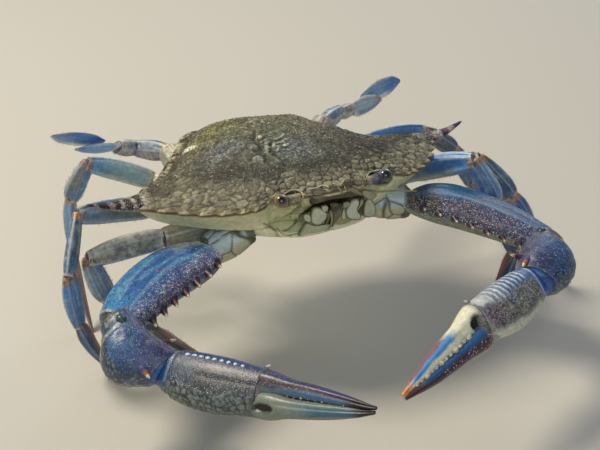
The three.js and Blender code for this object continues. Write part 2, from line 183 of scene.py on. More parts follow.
def skinOf(grid, hexColour, gloss=0.5):
    # Rings of points joined into a closed skin with a pole at each end, its faces outwards.
    rows, around = grid.shape[:2]
    ring = np.arange(around)
    after = (ring + 1) % around
    base = np.arange(rows - 1)[:, None] * around
    quads = np.stack([base + ring, base + after, base + around + after, base + around + ring], -1)
    quads = quads.reshape(-1, 4)
    last, poles = (rows - 1) * around, rows * around
    tris = np.concatenate([
        np.stack([after, ring, np.full(around, poles)], -1),
        np.stack([last + ring, last + after, np.full(around, poles + 1)], -1),
    ])
    spots = np.vstack([grid.reshape(-1, 3), grid[0].mean(0), grid[-1].mean(0)])
    halves = np.concatenate([tris, quads[:, [0, 1, 2]], quads[:, [0, 2, 3]]])
    a, b, c = (spots[halves[:, i]] for i in range(3))
    if np.einsum("ij,ij->i", a, np.cross(b, c)).sum() < 0:
        quads, tris = quads[:, ::-1], tris[:, ::-1]
    shape = {"spots": spots, "quads": quads, "tris": tris, "grid": (rows, around)}
    shape["normal"] = normalsOf(shape)
    colourAll(shape, hexColour, gloss)
    return shape


def spread(shape, rowValues):
    # A value for each point, with the poles taking the value of the nearest ring.
    values = np.broadcast_to(rowValues, shape["grid"]).reshape(-1)
    return np.concatenate([values, [values[0], values[-1]]])


def lay(shape, hexColour, mask):
    share = np.clip(mask, 0, 1)[:, None]
    shape["paint"] = shape["paint"] * (1 - share) + toLinear(hexColour) * share


def setGloss(shape, value, mask):
    share = np.clip(mask, 0, 1)
    shape["gloss"] = shape["gloss"] * (1 - share) + value * share


layers = ("paint", "gloss", "cells", "grit", "gritPaint", "fringe")


def join(shapes):
    whole = {"spots": np.concatenate([shape["spots"] for shape in shapes])}
    starts = np.cumsum([0] + [len(shape["spots"]) for shape in shapes])
    for kind in ("quads", "tris"):
        whole[kind] = np.concatenate([shape[kind] + start for shape, start in zip(shapes, starts)])
    for layer in layers:
        if any(layer in shape for shape in shapes):
            width = (3,) if layer in ("paint", "gritPaint") else ()
            whole[layer] = np.concatenate([
                shape.get(layer, np.zeros((len(shape["spots"]),) + width)) for shape in shapes
            ])
    return whole


def makeMesh(name, shape, material):
    mesh = bpy.data.meshes.new(name)
    tris, quads = shape["tris"], shape["quads"]
    corners = np.concatenate([tris.ravel(), quads.ravel()]).astype(np.int32)
    starts = np.concatenate([
        np.arange(len(tris)) * 3, len(tris) * 3 + np.arange(len(quads)) * 4,
    ]).astype(np.int32)
    mesh.vertices.add(len(shape["spots"]))
    mesh.vertices.foreach_set("co", ((shape["spots"] + bodyPlace) / 1000).astype(np.float32).ravel())
    mesh.loops.add(len(corners))
    mesh.loops.foreach_set("vertex_index", corners)
    mesh.polygons.add(len(starts))
    mesh.polygons.foreach_set("loop_start", starts)
    mesh.update(calc_edges=True)
    for layer in layers:
        if layer in shape:
            flat = shape[layer].ndim == 1
            kind = "FLOAT" if flat else "FLOAT_COLOR"
            attribute = mesh.attributes.new(layer, kind, "POINT")
            values = shape[layer]
            if not flat:
                values = np.concatenate([values, np.ones((len(values), 1))], 1)
            attribute.data.foreach_set("value" if flat else "color", values.astype(np.float32).ravel())
    mesh.materials.append(material)
    mesh.shade_smooth()
    return mesh


def placePiece(name, mesh, node=None):
    piece = bpy.data.objects.new(name, mesh)
    bpy.context.scene.collection.objects.link(piece)
    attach(piece, "root")
    if node:
        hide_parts(node)


def addPiece(name, shape, finish, node=None):
    placePiece(name, makeMesh(name, shape, materials[finish]), node)


# How a segment's skin starts and ends: angles round a knuckle or a point, rows of
# [share of the section, shift along in mm] in a cup, and the share left flat on the floor.
rowEnds = {
    "knuckle": [1.45, 1.2, 0.95, 0.7, 0.45, 0.2], "knuckleLength": 0.5,
    "point": [0.35, 0.7, 1.05, 1.4], "pointLength": 0.55,
    "cup": [[0.985, 0.2], [0.94, 0.34], [0.88, 0.28], [0.82, -0.1], [0.74, -0.9], [0.5, -1.6]],
    "flat": 0.5, "fewestRows": 8, "fewestAround": 20,
}


def ringRows(closing, halfFirst, halfLast, length, fine):
    # Rows of [place along, share of the section, shift along]: a rounded knuckle, the shaft,
    # then a lipped cup that holds the next segment, a rounded point, or a flat for the floor.
    back, ahead = rowEnds["knuckleLength"] * halfFirst, rowEnds["pointLength"] * halfLast
    count = max(int(length / fine), rowEnds["fewestRows"])
    rows = [(0, math.cos(a), -back * math.sin(a)) for a in rowEnds["knuckle"]]
    rows += [(i / count, 1, 0) for i in range(count + 1)]
    if closing == "cup":
        rows += [(1, share, shift) for share, shift in rowEnds["cup"]]
    elif closing == "point":
        rows += [(1, math.cos(a), ahead * math.sin(a)) for a in rowEnds["point"]]
    else:
        rows.append((1, rowEnds["flat"], 0))
    return np.array(rows)


def directionsOf(side, heading, pitch, roll):
    h, p, r = np.radians([heading, pitch, roll])
    along = np.array([side * math.cos(h) * math.cos(p), -math.sin(h) * math.cos(p), math.sin(p)])
    upper = np.array([-side * math.cos(h) * math.sin(p), math.sin(h) * math.sin(p), math.cos(p)])
    inner = np.array([-side * math.sin(h), -math.cos(h), 0])
    edge = upper * math.cos(r) + inner * math.sin(r)
    return along, edge, np.cross(along, edge)


# Every limb, as in the solids: lengths in mm, where it leaves the thorax, and its stance as
# [heading, pitch] in degrees. Heading runs from straight out (0) through forwards (90) inwards.
limbs = {
    "lengths": {
        "claw": [14.5, 50, 21, 36, 41], "leg2": [19, 27, 17, 22, 28], "leg3": [14.5, 33, 20, 21, 25],
        "leg4": [12.5, 26, 16, 20, 30], "swim": [9.5, 17, 11, 17, 23],
    },
    "sockets": {
        "claw": [23, -17, -15], "leg2": [29, -6.5, -16], "leg3": [31, 4, -15.5],
        "leg4": [31, 14, -14], "swim": [27, 24, -10],
    },
    "stance": {
        "claw_R": [[-12, -24], [27, -3], [110, -24], [118, 9], [113, 15]],
        "claw_L": [[35, 3], [50, -5], [137, -12], [159, 1], [158, -9]],
        "leg2_R": [[-6, -6], [-3, -4], [-4, -111], [-10, -136], [-44, -155]],
        "leg3_R": [[-13, 11], [11, 13], [52, -50], [20, -102], [9, -118]],
        "leg4_R": [[-62, 5], [-8, 24], [-48, -65], [-69, -91], [-88, -121]],
        "swim_R": [[-89, 17], [-72, -15], [24, 23], [6, 12], [14, 23]],
        "leg2_L": [[6, 8], [63, 26], [35, -59], [32, -66], [48, -105]],
        "leg3_L": [[17, -10], [36, 17], [24, -48], [16, -60], [19, -72]],
        "leg4_L": [[-6, 14], [3, 0], [13, -34], [-5, -59], [-18, -59]],
        "swim_L": [[-39, 17], [-36, -9], [-30, -14], [-13, -2], [-17, 1]],
    },
    "girth": {"claw": 1, "leg2": 1, "leg3": 1, "leg4": 0.88, "swim": 1},
    "wristBow": {"R": -4.6, "L": -2},
    "armLift": {"R": 0, "L": 2.4},
    "bladeRoll": {"R": 45, "L": 4},
    "paddleRoot": {
        "R": {"along": 0.35, "behind": 2.6, "above": -0.4},
        "L": {"along": 0.5, "behind": 2.6, "above": 1.8},
    },
    "moving": {"root": 2.2, "tip": 0.62},
    "fixed": {
        "root": 4, "tip": 0.75, "back": 5, "breadth": [[0, 4.4], [0.25, 3.3], [0.7, 2.2], [1, 0.6]],
        "bow": -0.9,
    },
    "parts": {
        "claw": ["ischium", "merus", "carpus", "palm", "dactyl"],
        "leg": ["ischium", "merus", "carpus", "propodus", "dactyl"],
        "swim": ["ischium", "merus", "carpus", "propodus", "paddle"],
    },
    "spacing": {"claw": 0.46, "leg": 0.5, "swim": 0.45},   # mm between the points of a skin
}

# Half breadth along each segment, thickness for breadth, turn of the broad side, bow, roundness.
forms = {
    "claw": [
        ([[0, 5], [0.5, 6.5], [1, 6]], 0.95, 40, 0, 2.2),
        ([[0, 5.6], [0.12, 9.6], [0.3, 11.5], [0.75, 10], [1, 7.2]], 0.54, 82, -3.6, 2.3),
        ([[0, 5.8], [0.3, 9], [0.7, 9.3], [1, 7]], 0.84, 60, -3.6, 2.3),
        ([[0, 5], [0.2, 7.6], [0.6, 8.5], [1, 6.8]], 0.68, 45, -1, 2.4),
        ([[0, 3.1], [0.3, 3.1], [0.7, 2.1], [1, 0.6]], 0.8, 45, 0.2, 2),
    ],
    "leg": [
        ([[0, 4], [0.5, 4.6], [1, 3.6]], 0.85, 0, 0, 2.2),
        ([[0, 3.2], [0.2, 4.2], [0.7, 4.2], [1, 3]], 0.55, 0, 0.6, 2.4),
        ([[0, 2.6], [0.3, 3.4], [0.75, 3.8], [1, 3]], 0.6, 0, 0.3, 2.4),
        ([[0, 2.6], [0.25, 3.7], [0.65, 3.5], [1, 2.3]], 0.48, 0, 0.4, 2.4),
        ([[0, 2], [0.2, 2.6], [0.65, 1.7], [1, 0.75]], 0.62, 0, 0.9, 2),
    ],
    "swim": [
        ([[0, 4], [0.5, 4.4], [1, 4]], 0.9, 0, 0, 2.2),
        ([[0, 3], [0.4, 3.9], [1, 3.2]], 0.8, 20, 0, 2.3),
        ([[0, 2.6], [0.5, 3.4], [1, 2.8]], 0.72, 30, 0, 2.3),
        ([[0, 2.4], [0.35, 4], [0.75, 3], [1, 0.9]], 0.3, 75, 0, 2),
        ([[0, 1.8], [0.35, 4.4], [0.75, 3.8], [1, 0.9]], 0.2, 75, 0, 2),
    ],
}


def familyOf(kind):
    return "leg" if kind.startswith("leg") else kind


def layLimb(name):
    kind, sideName = name.split("_")
    side = sides[sideName]
    start = np.array(limbs["sockets"][kind], float) * [side, 1, 1]
    segments = []
    for i, (heading, pitch) in enumerate(limbs["stance"][name]):
        breadth, thick, roll, bow, roundness = forms[familyOf(kind)][i]
        length = limbs["lengths"][kind][i]
        onFloor = i == 4 and kind.startswith("leg")
        if onFloor:
            drop = math.degrees(math.asin((start[2] - body["floorLevel"]) / length))
            pitch = drop - 180 if pitch < -90 else -drop
        if kind == "claw" and i == 2:
            bow = limbs["wristBow"][sideName]
        if kind == "swim" and i > 2:
            roll = limbs["bladeRoll"][sideName]
        along, edge, across = directionsOf(side, heading, pitch, roll)
        end = start + along * length
        segments.append({
            "start": start, "end": end, "along": along, "edge": edge, "across": across, "bow": bow,
            "breadth": [[at, wide * limbs["girth"][kind]] for at, wide in breadth], "thick": thick,
            "round": roundness, "lift": limbs["armLift"][sideName] if kind == "claw" and i == 1 else 0,
            "onFloor": onFloor, "side": side, "kind": kind, "index": i, "length": length,
            "last": i == 4, "sideName": sideName,
        })
        start = end
    if kind == "claw":
        palm, finger = segments[3], segments[4]
        fixed = {**finger, "breadth": limbs["fixed"]["breadth"], "bow": limbs["fixed"]["bow"]}
        fixed["start"] = (finger["start"] - finger["edge"] * limbs["fixed"]["root"]
                          - finger["along"] * limbs["fixed"]["back"])
        fixed["end"] = finger["end"] - finger["edge"] * limbs["fixed"]["tip"]
        fixed["length"] = finger["length"] + limbs["fixed"]["back"]
        finger["start"] = finger["start"] + finger["edge"] * limbs["moving"]["root"]
        finger["end"] = finger["end"] + finger["edge"] * limbs["moving"]["tip"]
        palm["fixed"] = fixed
    if kind == "swim":
        blade, paddle = segments[3], segments[4]
        root = limbs["paddleRoot"][sideName]
        shift = mix(blade["start"], blade["end"], root["along"]) - paddle["start"]
        shift = shift - blade["across"] * side * root["behind"] + np.array([0, 0, root["above"]])
        paddle["start"] = paddle["start"] + shift
        paddle["end"] = paddle["end"] + shift
    return segments


def middleLine(segment, t):
    t = np.asarray(t, float)[..., None]
    spot = mix(segment["start"], segment["end"], t)
    spot = spot + segment["edge"] * segment["bow"] * np.sin(math.pi * t)
    return spot + np.array([0, 0, segment["lift"]]) * np.sin(math.pi * np.sqrt(t))


# A segment's skin. Each point also keeps t along the segment, its turn round it in degrees
# (0 on the spined or upper edge, 90 on the upper or rear face), and its share of the section.
def segmentSkin(segment, swell=None, closing=None):
    fine = limbs["spacing"][familyOf(segment["kind"])]
    closing = closing or ("flat" if segment["onFloor"] else "point" if segment["last"] else "cup")
    halfFirst, halfLast = through(segment["breadth"], [0, 1])
    rows = ringRows(closing, halfFirst, halfLast, segment["length"], fine)
    widest = max(wide for _, wide in segment["breadth"])
    around = int(2 * math.pi * widest * math.sqrt((1 + segment["thick"] ** 2) / 2) / fine)
    angle = roundTurns(max(around + around % 2, rowEnds["fewestAround"]))
    t, reach, shift = (column[:, None] for column in rows.T)
    half = through(segment["breadth"], t) * reach
    bulge = swell(t) * reach if swell else 0
    wide = (half + bulge) * rounded(np.cos(angle), segment["round"])
    deep = (half * segment["thick"] + bulge) * rounded(np.sin(angle), segment["round"])
    spot = middleLine(segment, t) + segment["along"] * shift[..., None]
    spot = spot + segment["edge"] * wide[..., None] + segment["across"] * deep[..., None]
    if segment["onFloor"]:
        foot = rows[:, 0] == 1
        drop = (body["floorLevel"] - spot[foot][..., 2]) / segment["along"][2]
        spot[foot] += segment["along"] * drop[..., None]
    shape = skinOf(spot, "#8899aa")
    turn = np.degrees((-segment["side"] * angle + math.pi) % (2 * math.pi) - math.pi)
    for key, values in (("t", t), ("turn", turn), ("reach", reach)):
        shape[key] = spread(shape, values)
    return shape


def shiftOut(shape, amount):
    shape["spots"] = shape["spots"] + shape["normal"] * amount[:, None]
    return shape


# Skins near these limits, in mm, are drawn in a little, and nothing goes below the floor.
# Bristles thin out close to it.
extent = {
    "low": [-90.3, -123.4], "high": [107.26, 56.24], "reach": 4.0, "excess": 0.7,
    "bareBelow": 1.5, "fringedAbove": 3.0,
}


def keepInside(shape):
    spots = shape["spots"]
    share = extent["excess"] / (extent["reach"] + extent["excess"])
    for axis in (0, 1):
        past = np.maximum(spots[:, axis] - extent["high"][axis] + extent["reach"], 0)
        short = np.maximum(extent["low"][axis] + extent["reach"] - spots[:, axis], 0)
        spots[:, axis] += share * (short - past)
    spots[:, 2] = np.maximum(spots[:, 2], body["floorLevel"])
    if "fringe" in shape:
        above = spots[:, 2] - body["floorLevel"]
        shape["fringe"] = shape["fringe"] * step(extent["bareBelow"], extent["fringedAbove"], above)


# Where a segment's surface is, for spines, beads and knobs that stand on it.
def surfaceSpot(segment, t, turn):
    angle = -segment["side"] * math.radians(turn)
    c, s = math.cos(angle), math.sin(angle)
    out = (segment["edge"] * rounded(c, segment["round"])
           + segment["across"] * segment["thick"] * rounded(s, segment["round"]))
    way = segment["edge"] * c * segment["thick"] + segment["across"] * s
    return middleLine(segment, t) + out * through(segment["breadth"], t), unit(way)


# A spine that leans along its segment: a tapering horn, with its colours from root to tip.
spineRings = {
    "rows": 12, "around": 14, "beside": [0.3, 0.2, 0.93], "tipRadius": 0.06, "lean": 0.45,
    "sunk": 0.6, "hook": 0.5, "blend": 0.05,
}


def standingSpine(segment, spec, t, turn):
    radius = spec["radius"]
    foot, way = surfaceSpot(segment, t, turn)
    way = unit(way + segment["along"] * spec.get("lean", spineRings["lean"]))
    side = unit(np.cross(way, spineRings["beside"]))
    share = np.linspace(0, 1, spineRings["rows"])[:, None]
    angle = roundTurns(spineRings["around"])
    thin = radius * (1 - share) ** 0.8 * (1 - 0.25 * np.sin(math.pi * share)) + spineRings["tipRadius"]
    rise = spec["height"] * share - 0.5 * radius * (share == 0) - radius * spineRings["sunk"]
    spot = foot + way * rise[..., None] + segment["along"] * (spineRings["hook"] * share ** 2)[..., None]
    spot = spot + side * (thin * np.cos(angle))[..., None]
    spot = spot + np.cross(way, side) * (thin * np.sin(angle))[..., None]
    shape = skinOf(spot, spec["colours"][0][1])
    level = spread(shape, share)
    for at, colour in spec["colours"][1:]:
        lay(shape, colour, step(at - spineRings["blend"], at + spineRings["blend"], level))
    return shape


def ellipsoid(middle, ways, sizes, around, rows, pole, hexColour, gloss):
    # The half sizes go with the three ways, and the rings run along the last of them.
    polar = np.linspace(pole, math.pi - pole, rows)[:, None]
    angle = roundTurns(around)
    shares = np.sin(polar) * np.cos(angle), np.sin(polar) * np.sin(angle), np.cos(polar) + 0 * angle
    parts = [way * (size * share)[..., None] for way, size, share in zip(ways, sizes, shares)]
    return skinOf(middle + sum(parts), hexColour, gloss)


# A low rounded knob, flattened on the surface it stands on.
def knob(foot, way, sizes, colour, lengthWay, around=10, rows=6, gloss=0.25, sink=0.3):
    first = unit(lengthWay - way * np.dot(way, lengthWay))
    return ellipsoid(foot - way * sizes[2] * sink, (first, np.cross(way, first), way), sizes,
                     around, rows, 0.12, colour, gloss)


def nearLine(points, line):
    # Distance in mm from each point, seen from above, to a line through a few places.
    line = np.array(line, float)
    best = np.full(len(points), 1e9)
    for a, b in zip(line, line[1:]):
        u = np.clip((points[:, :2] - a) @ (b - a) / np.sum((b - a) ** 2), 0, 1)
        best = np.minimum(best, np.linalg.norm(points[:, :2] - a - u[:, None] * (b - a), axis=1))
    return best


# The camera comes first, because some marks on the face are placed along its lines of sight.
view = {
    "lens": 96, "sensor": 36, "azimuth": -32.32, "elevation": 28.6, "roll": -2.7, "distance": 548.5,
    "aside": 6.73, "above": -23.44, "imageWidth": 600, "imageHeight": 450,
}


def viewDirections():
    a, e, w = (math.radians(view[key]) for key in ("azimuth", "elevation", "roll"))
    right = np.array([math.cos(a), math.sin(a), 0])
    ahead = np.array([-math.sin(a) * math.cos(e), math.cos(a) * math.cos(e), -math.sin(e)])
    up = np.cross(right, ahead)
    spot = right * view["aside"] + up * view["above"] - ahead * view["distance"]
    return spot, right * math.cos(w) - up * math.sin(w), right * math.sin(w) + up * math.cos(w), ahead


cameraSpot, cameraRight, cameraUp, cameraAhead = viewDirections()
pixelsWide = view["lens"] / view["sensor"] * view["imageWidth"]


def placeCamera():
    camera = bpy.data.objects.new("camera", bpy.data.cameras.new("camera"))
    camera.data.lens, camera.data.sensor_width = view["lens"], view["sensor"]
    turn = Matrix(np.stack([cameraRight, cameraUp, -cameraAhead], 1).tolist()).to_4x4()
    turn.translation = ((cameraSpot + bodyPlace) / 1000).tolist()
    camera.matrix_world = turn
    bpy.context.scene.collection.objects.link(camera)
    bpy.context.scene.camera = camera


placeCamera()
bpy.context.scene.view_settings.view_transform = "Standard"


def toPixel(points):
    away = points - cameraSpot
    depth = away @ cameraAhead
    return np.stack([view["imageWidth"] / 2 + pixelsWide * (away @ cameraRight) / depth,
                     view["imageHeight"] / 2 - pixelsWide * (away @ cameraUp) / depth], -1)


def sightLine(pixel):
    across = (pixel[0] - view["imageWidth"] / 2) / pixelsWide
    upward = (view["imageHeight"] / 2 - pixel[1]) / pixelsWide
    return unit(cameraAhead + cameraRight * across + cameraUp * upward)


def onPlane(pixel, spot, normal):
    line = sightLine(pixel)
    return cameraSpot + line * (np.dot(np.array(spot) - cameraSpot, normal) / np.dot(line, normal))


def within(places, outline):
    outline = np.array(outline, float)
    inside = np.zeros(len(places), bool)
    for (x0, y0), (x1, y1) in zip(outline, np.roll(outline, -1, 0)):
        crosses = (y0 > places[:, 1]) != (y1 > places[:, 1])
        inside ^= crosses & (places[:, 0] < (x1 - x0) * (places[:, 1] - y0) / (y1 - y0 + 1e-9) + x0)
    return inside


def softWithin(places, outline, soft):
    away = nearLine(places, list(outline) + [outline[0]])
    return step(-soft, soft, np.where(within(places, outline), away, -away))


# Materials. What is painted on the points carries the broad colours; the nodes add what is finer.

def addNode(tree, kind, settings=None, links=None):
    node = tree.nodes.new(kind)
    for key, value in (settings or {}).items():
        if isinstance(key, int) or key in node.inputs:
            node.inputs[key].default_value = value
        else:
            setattr(node, key, value)
    for key, socket in (links or {}).items():
        tree.links.new(socket, node.inputs[key])
    return node


def newMaterial(name):
    material = bpy.data.materials.new(name)
    material.use_nodes = True
    material.node_tree.nodes.clear()
    return material, material.node_tree


# What all the finishes share. Lengths are in metres, scales in cells for each metre.
nodeRanges = {
    "shade": (0.6, 1.4), "seam": (0.02, 0.16), "speck": (0.3, 0.7), "roughness": 0.07,
    "warpScale": 700.0, "warp": (0.0007,) * 3, "cellHeight": 1.2,
    "glowDepth": 0.0015, "glowReach": (1.0, 0.6, 0.35),
}


def paintedMaterial(name, finish):
    material, tree = newMaterial(name)
    place = {"Vector": addNode(tree, "ShaderNodeTexCoord").outputs["Object"]}
    paint, gloss, cells = (
        addNode(tree, "ShaderNodeAttribute", {"attribute_name": layer}).outputs[socket]
        for layer, socket in (("paint", "Color"), ("gloss", "Fac"), ("cells", "Fac"))
    )
    # specks and blotches make the colour lighter or darker
    speck = addNode(tree, "ShaderNodeTexNoise", {
        "Scale": 1000 / finish["speckSize"], "Detail": 3.0, "Roughness": 0.6,
    }, place).outputs["Fac"]
    blotch = addNode(tree, "ShaderNodeTexNoise", {
        "Scale": 1000 / finish["blotchSize"], "Detail": 2.0,
    }, place).outputs["Fac"]
    both = addNode(tree, "ShaderNodeMath", {"operation": "ADD"}, {0: speck, 1: blotch})
    low, high = nodeRanges["shade"]
    shade = addNode(tree, "ShaderNodeMapRange", {
        "From Min": low, "From Max": high, "To Min": 1 - finish["speck"], "To Max": 1 + finish["speck"],
    }, {"Value": both.outputs[0]}).outputs["Result"]
    # small cells, each a little different, with dark seams between them
    warp = addNode(tree, "ShaderNodeTexNoise", {"Scale": nodeRanges["warpScale"]}, place)
    warped = {"Vector": addNode(tree, "ShaderNodeVectorMath", {
        "operation": "MULTIPLY_ADD", 1: nodeRanges["warp"],
    }, {0: warp.outputs["Color"], 2: place["Vector"]}).outputs[0]}
    cellScale = {"Scale": 1000 / finish["cellSize"]}
    away = addNode(tree, "ShaderNodeTexVoronoi", {"feature": "DISTANCE_TO_EDGE", **cellScale}, warped)
    cell = addNode(tree, "ShaderNodeTexVoronoi", cellScale, warped)
    own = addNode(tree, "ShaderNodeSeparateColor", None, {"Color": cell.outputs["Color"]})
    low, high = nodeRanges["seam"]
    risen = addNode(tree, "ShaderNodeMapRange", {
        "interpolation_type": "SMOOTHSTEP", "From Min": low, "From Max": high,
        "To Min": -finish["gapDark"], "To Max": 0.0,
    }, {"Value": away.outputs["Distance"]}).outputs["Result"]
    varied = addNode(tree, "ShaderNodeMapRange", {
        "To Min": -finish["cellVary"], "To Max": finish["cellVary"],
    }, {"Value": own.outputs[0]}).outputs["Result"]
    pattern = addNode(tree, "ShaderNodeMath", {"operation": "ADD"}, {0: risen, 1: varied}).outputs[0]
    shade = addNode(tree, "ShaderNodeMath", {"operation": "MULTIPLY_ADD"},
                    {0: pattern, 1: cells, 2: shade}).outputs[0]
    colour = addNode(tree, "ShaderNodeVectorMath", {"operation": "SCALE"}, {0: paint, "Scale": shade})
    # roughness and relief
    low, high = nodeRanges["speck"]
    rough = addNode(tree, "ShaderNodeMapRange", {
        "From Min": low, "From Max": high,
        "To Min": -nodeRanges["roughness"], "To Max": nodeRanges["roughness"],
    }, {"Value": speck}).outputs["Result"]
    roughness = addNode(tree, "ShaderNodeMath", {"operation": "ADD", "use_clamp": True},
                        {0: gloss, 1: rough}).outputs[0]
    pit = addNode(tree, "ShaderNodeTexVoronoi", {"Scale": 1000 / finish["pitSize"]}, place)
    height = addNode(tree, "ShaderNodeMath", {"operation": "MULTIPLY_ADD", 1: finish["pitShare"]},
                     {0: pit.outputs["Distance"], 2: speck}).outputs[0]
    domed = addNode(tree, "ShaderNodeMath", {"operation": "MULTIPLY"}, {0: risen, 1: cells}).outputs[0]
    height = addNode(tree, "ShaderNodeMath", {
        "operation": "MULTIPLY_ADD", 1: nodeRanges["cellHeight"],
    }, {0: domed, 2: height}).outputs[0]
    bump = addNode(tree, "ShaderNodeBump", {
        "Strength": finish["bump"], "Distance": finish["bumpHeight"] / 1000,
    }, {"Height": height}).outputs["Normal"]
    surface = addNode(tree, "ShaderNodeBsdfPrincipled", {
        "IOR": finish["ior"], "Coat Weight": finish["coat"], "Coat Roughness": finish["coatRoughness"],
        "Subsurface Weight": finish["glow"], "Subsurface Scale": nodeRanges["glowDepth"],
        "Subsurface Radius": nodeRanges["glowReach"],
    }, {"Base Color": colour.outputs[0], "Roughness": roughness, "Normal": bump})
    addNode(tree, "ShaderNodeOutputMaterial", links={"Surface": surface.outputs[0]})
    return material


# Crab shell is calcified chitin, IOR about 1.56. Sizes are in mm.
finishes = {
    # the back: dry, pitted and granular, so it hardly shines
    "calcifiedCarapaceShell": {
        "cellSize": 1.25, "gapDark": 0.55, "cellVary": 0.3,
        "speckSize": 0.5, "blotchSize": 1.6, "speck": 0.3, "pitSize": 0.55, "pitShare": 0.6,
        "bump": 0.5, "bumpHeight": 0.16, "ior": 1.5, "coat": 0.0, "coatRoughness": 0.3, "glow": 0.0,
    },
    # claws: dense glazed chitin over blue pigment, with a wet-looking sheen
    "glazedClawChitin": {
        "cellSize": 0.85, "gapDark": 0.4, "cellVary": 0.26,
        "speckSize": 0.45, "blotchSize": 1.8, "speck": 0.2, "pitSize": 0.7, "pitShare": 0.4,
        "bump": 0.45, "bumpHeight": 0.16, "ior": 1.56, "coat": 0.2, "coatRoughness": 0.25, "glow": 0.02,
    },
    # legs: thinner chitin, smoother and a little clearer
    "smoothLegChitin": {
        "cellSize": 0.9, "gapDark": 0.28, "cellVary": 0.2,
        "speckSize": 0.4, "blotchSize": 2.0, "speck": 0.16, "pitSize": 0.6, "pitShare": 0.3,
        "bump": 0.4, "bumpHeight": 0.14, "ior": 1.56, "coat": 0.14, "coatRoughness": 0.28, "glow": 0.03,
    },
    # underside: pale, waxy and almost without pigment
    "waxyBellyChitin": {
        "cellSize": 1.6, "gapDark": 0.06, "cellVary": 0.05,
        "speckSize": 0.6, "blotchSize": 3.0, "speck": 0.1, "pitSize": 0.9, "pitShare": 0.2,
        "bump": 0.15, "bumpHeight": 0.08, "ior": 1.54, "coat": 0.12, "coatRoughness": 0.3, "glow": 0.08,
    },
    # mouthparts and feelers: horny, tan, with a fine nap
    "hornyMouthpartChitin": {
        "cellSize": 0.7, "gapDark": 0.3, "cellVary": 0.2,
        "speckSize": 0.4, "blotchSize": 1.2, "speck": 0.22, "pitSize": 0.5, "pitShare": 0.4,
        "bump": 0.3, "bumpHeight": 0.08, "ior": 1.54, "coat": 0.1, "coatRoughness": 0.35, "glow": 0.03,
    },
    # the eye: a clear smooth cornea over dark facets, glossy as glass
    "clearCorneaOverPigment": {
        "cellSize": 0.25, "gapDark": 0.1, "cellVary": 0.05,
        "speckSize": 0.3, "blotchSize": 0.8, "speck": 0.25, "pitSize": 0.22, "pitShare": 0.5,
        "bump": 0.05, "bumpHeight": 0.02, "ior": 1.5, "coat": 0.6, "coatRoughness": 0.14, "glow": 0.0,
    },
}
materials = {name: paintedMaterial(name, finish) for name, finish in finishes.items()}
print("materials made")


# The carapace: a domed shell whose flanks fold under.
carapace = {
    "middle": [0, 3, 0], "domeHeight": 11, "reach": 2.2, "power": 0.95, "shellFloor": -11,
    "margin": [
        [0, -35.5, 3.4], [8.5, -34.5, 3.2], [12, -33, 2.6], [15, -30.5, 2.4], [22, -29.5, 2.2],
        [26.5, -32.5, 1.9], [33, -30.5, 0.7], [42, -24.5, -0.8], [50, -16.5, -2.0], [57, -7, -3.3],
        [58, -1.5, -4], [50.5, 4.5, -4.8], [41, 10.5, -5.8], [33.5, 17, -6.4], [28.5, 25, -6.6],
        [23.5, 31, -6], [12, 32, -5.2], [0, 32, -5],
    ],
    "hindDroop": {"drop": 4.6, "at": 0.71, "spread": 0.12},   # the left hind edge sits lower
    "hindFlange": [   # right rear side: outward, upward in mm, place and spread along the edge
        [3.7, 1.1, 12.9, 1.1], [-0.6, 3.2, 15.2, 1.1],
    ],
    "swellings": [   # rise, x, y, squared spread in mm
        [-1.7, -32, 0, 200], [2.6, -23, 17, 130], [-5.0, 34, 0, 220], [0.6, 23, 17, 130],
        [0.7, -5, 17, 60], [-0.9, 10, 18, 30], [0.5, 17, 11, 30],
    ],
    "ease": {   # the notches at the eyes don't run far into the dome
        "shifts": [-1.6, -1.0, -0.5, 0, 0.5, 1.0, 1.6], "at": 4.6, "spread": 1.9, "fade": [0.72, 0.97],
    },
    "tint": [1.42, 1.5, 1.55],
    "shades": [   # lighter and darker regions: red, green, blue shares, x, y, half sizes
        [[1.6, 1.76, 1.92], -12, -14, 13, 8], [[1.66, 1.78, 1.62], 2, 4, 26, 10],
        [[0.76, 0.8, 0.8], 31, -14, 15, 8], [[1.85, 1.98, 1.82], 0, 22, 30, 9],
    ],
    "settle": 0.35,            # the skin lies this far down, so that its granules reach the full size
    "around": 540, "rings": 118, "foldRows": 40,
    "ringStops": [             # closer together where the marks are
        [0, 0.01], [0.07, 0.09], [0.5, 0.4], [0.78, 0.8], [1, 1],
    ],
    "crowding": 1.25,          # points of a ring, closer together at the front
    "under": [                 # the fold under the edge: reach from the middle, drop
        [0.997, 0.35], [0.99, 1.1], [0.982, 1.9], [0.968, 2.9], [0.95, 4.0], [0.925, 5.3],
        [0.9, 6.5], [0.875, 7.6], [0.85, 8.7], [0.82, 10.0], [0.79, 12], [0.74, 99], [0.6, 99], [0.3, 99],
    ],
}


def marginCurve(stops, fine=100):
    places = np.vstack([2 * stops[0] - stops[1], stops, 2 * stops[-1] - stops[-2]])
    samples = []
    for a, b, c, d in zip(places, places[1:], places[2:], places[3:]):
        spans = [np.sum((far - near) ** 2) ** 0.25 for near, far in ((a, b), (b, c), (c, d))]
        leave = ((b - a) / spans[0] - (c - a) / (spans[0] + spans[1]) + (c - b) / spans[1]) * spans[1]
        arrive = ((c - b) / spans[1] - (d - b) / (spans[1] + spans[2]) + (d - c) / spans[2]) * spans[1]
        u = np.linspace(0, 1, fine, endpoint=False)[:, None]
        samples.append(b + leave * u + (3 * (c - b) - 2 * leave - arrive) * u ** 2
                       + (2 * (b - c) + leave + arrive) * u ** 3)
    return np.vstack(samples + [stops[-1:]])


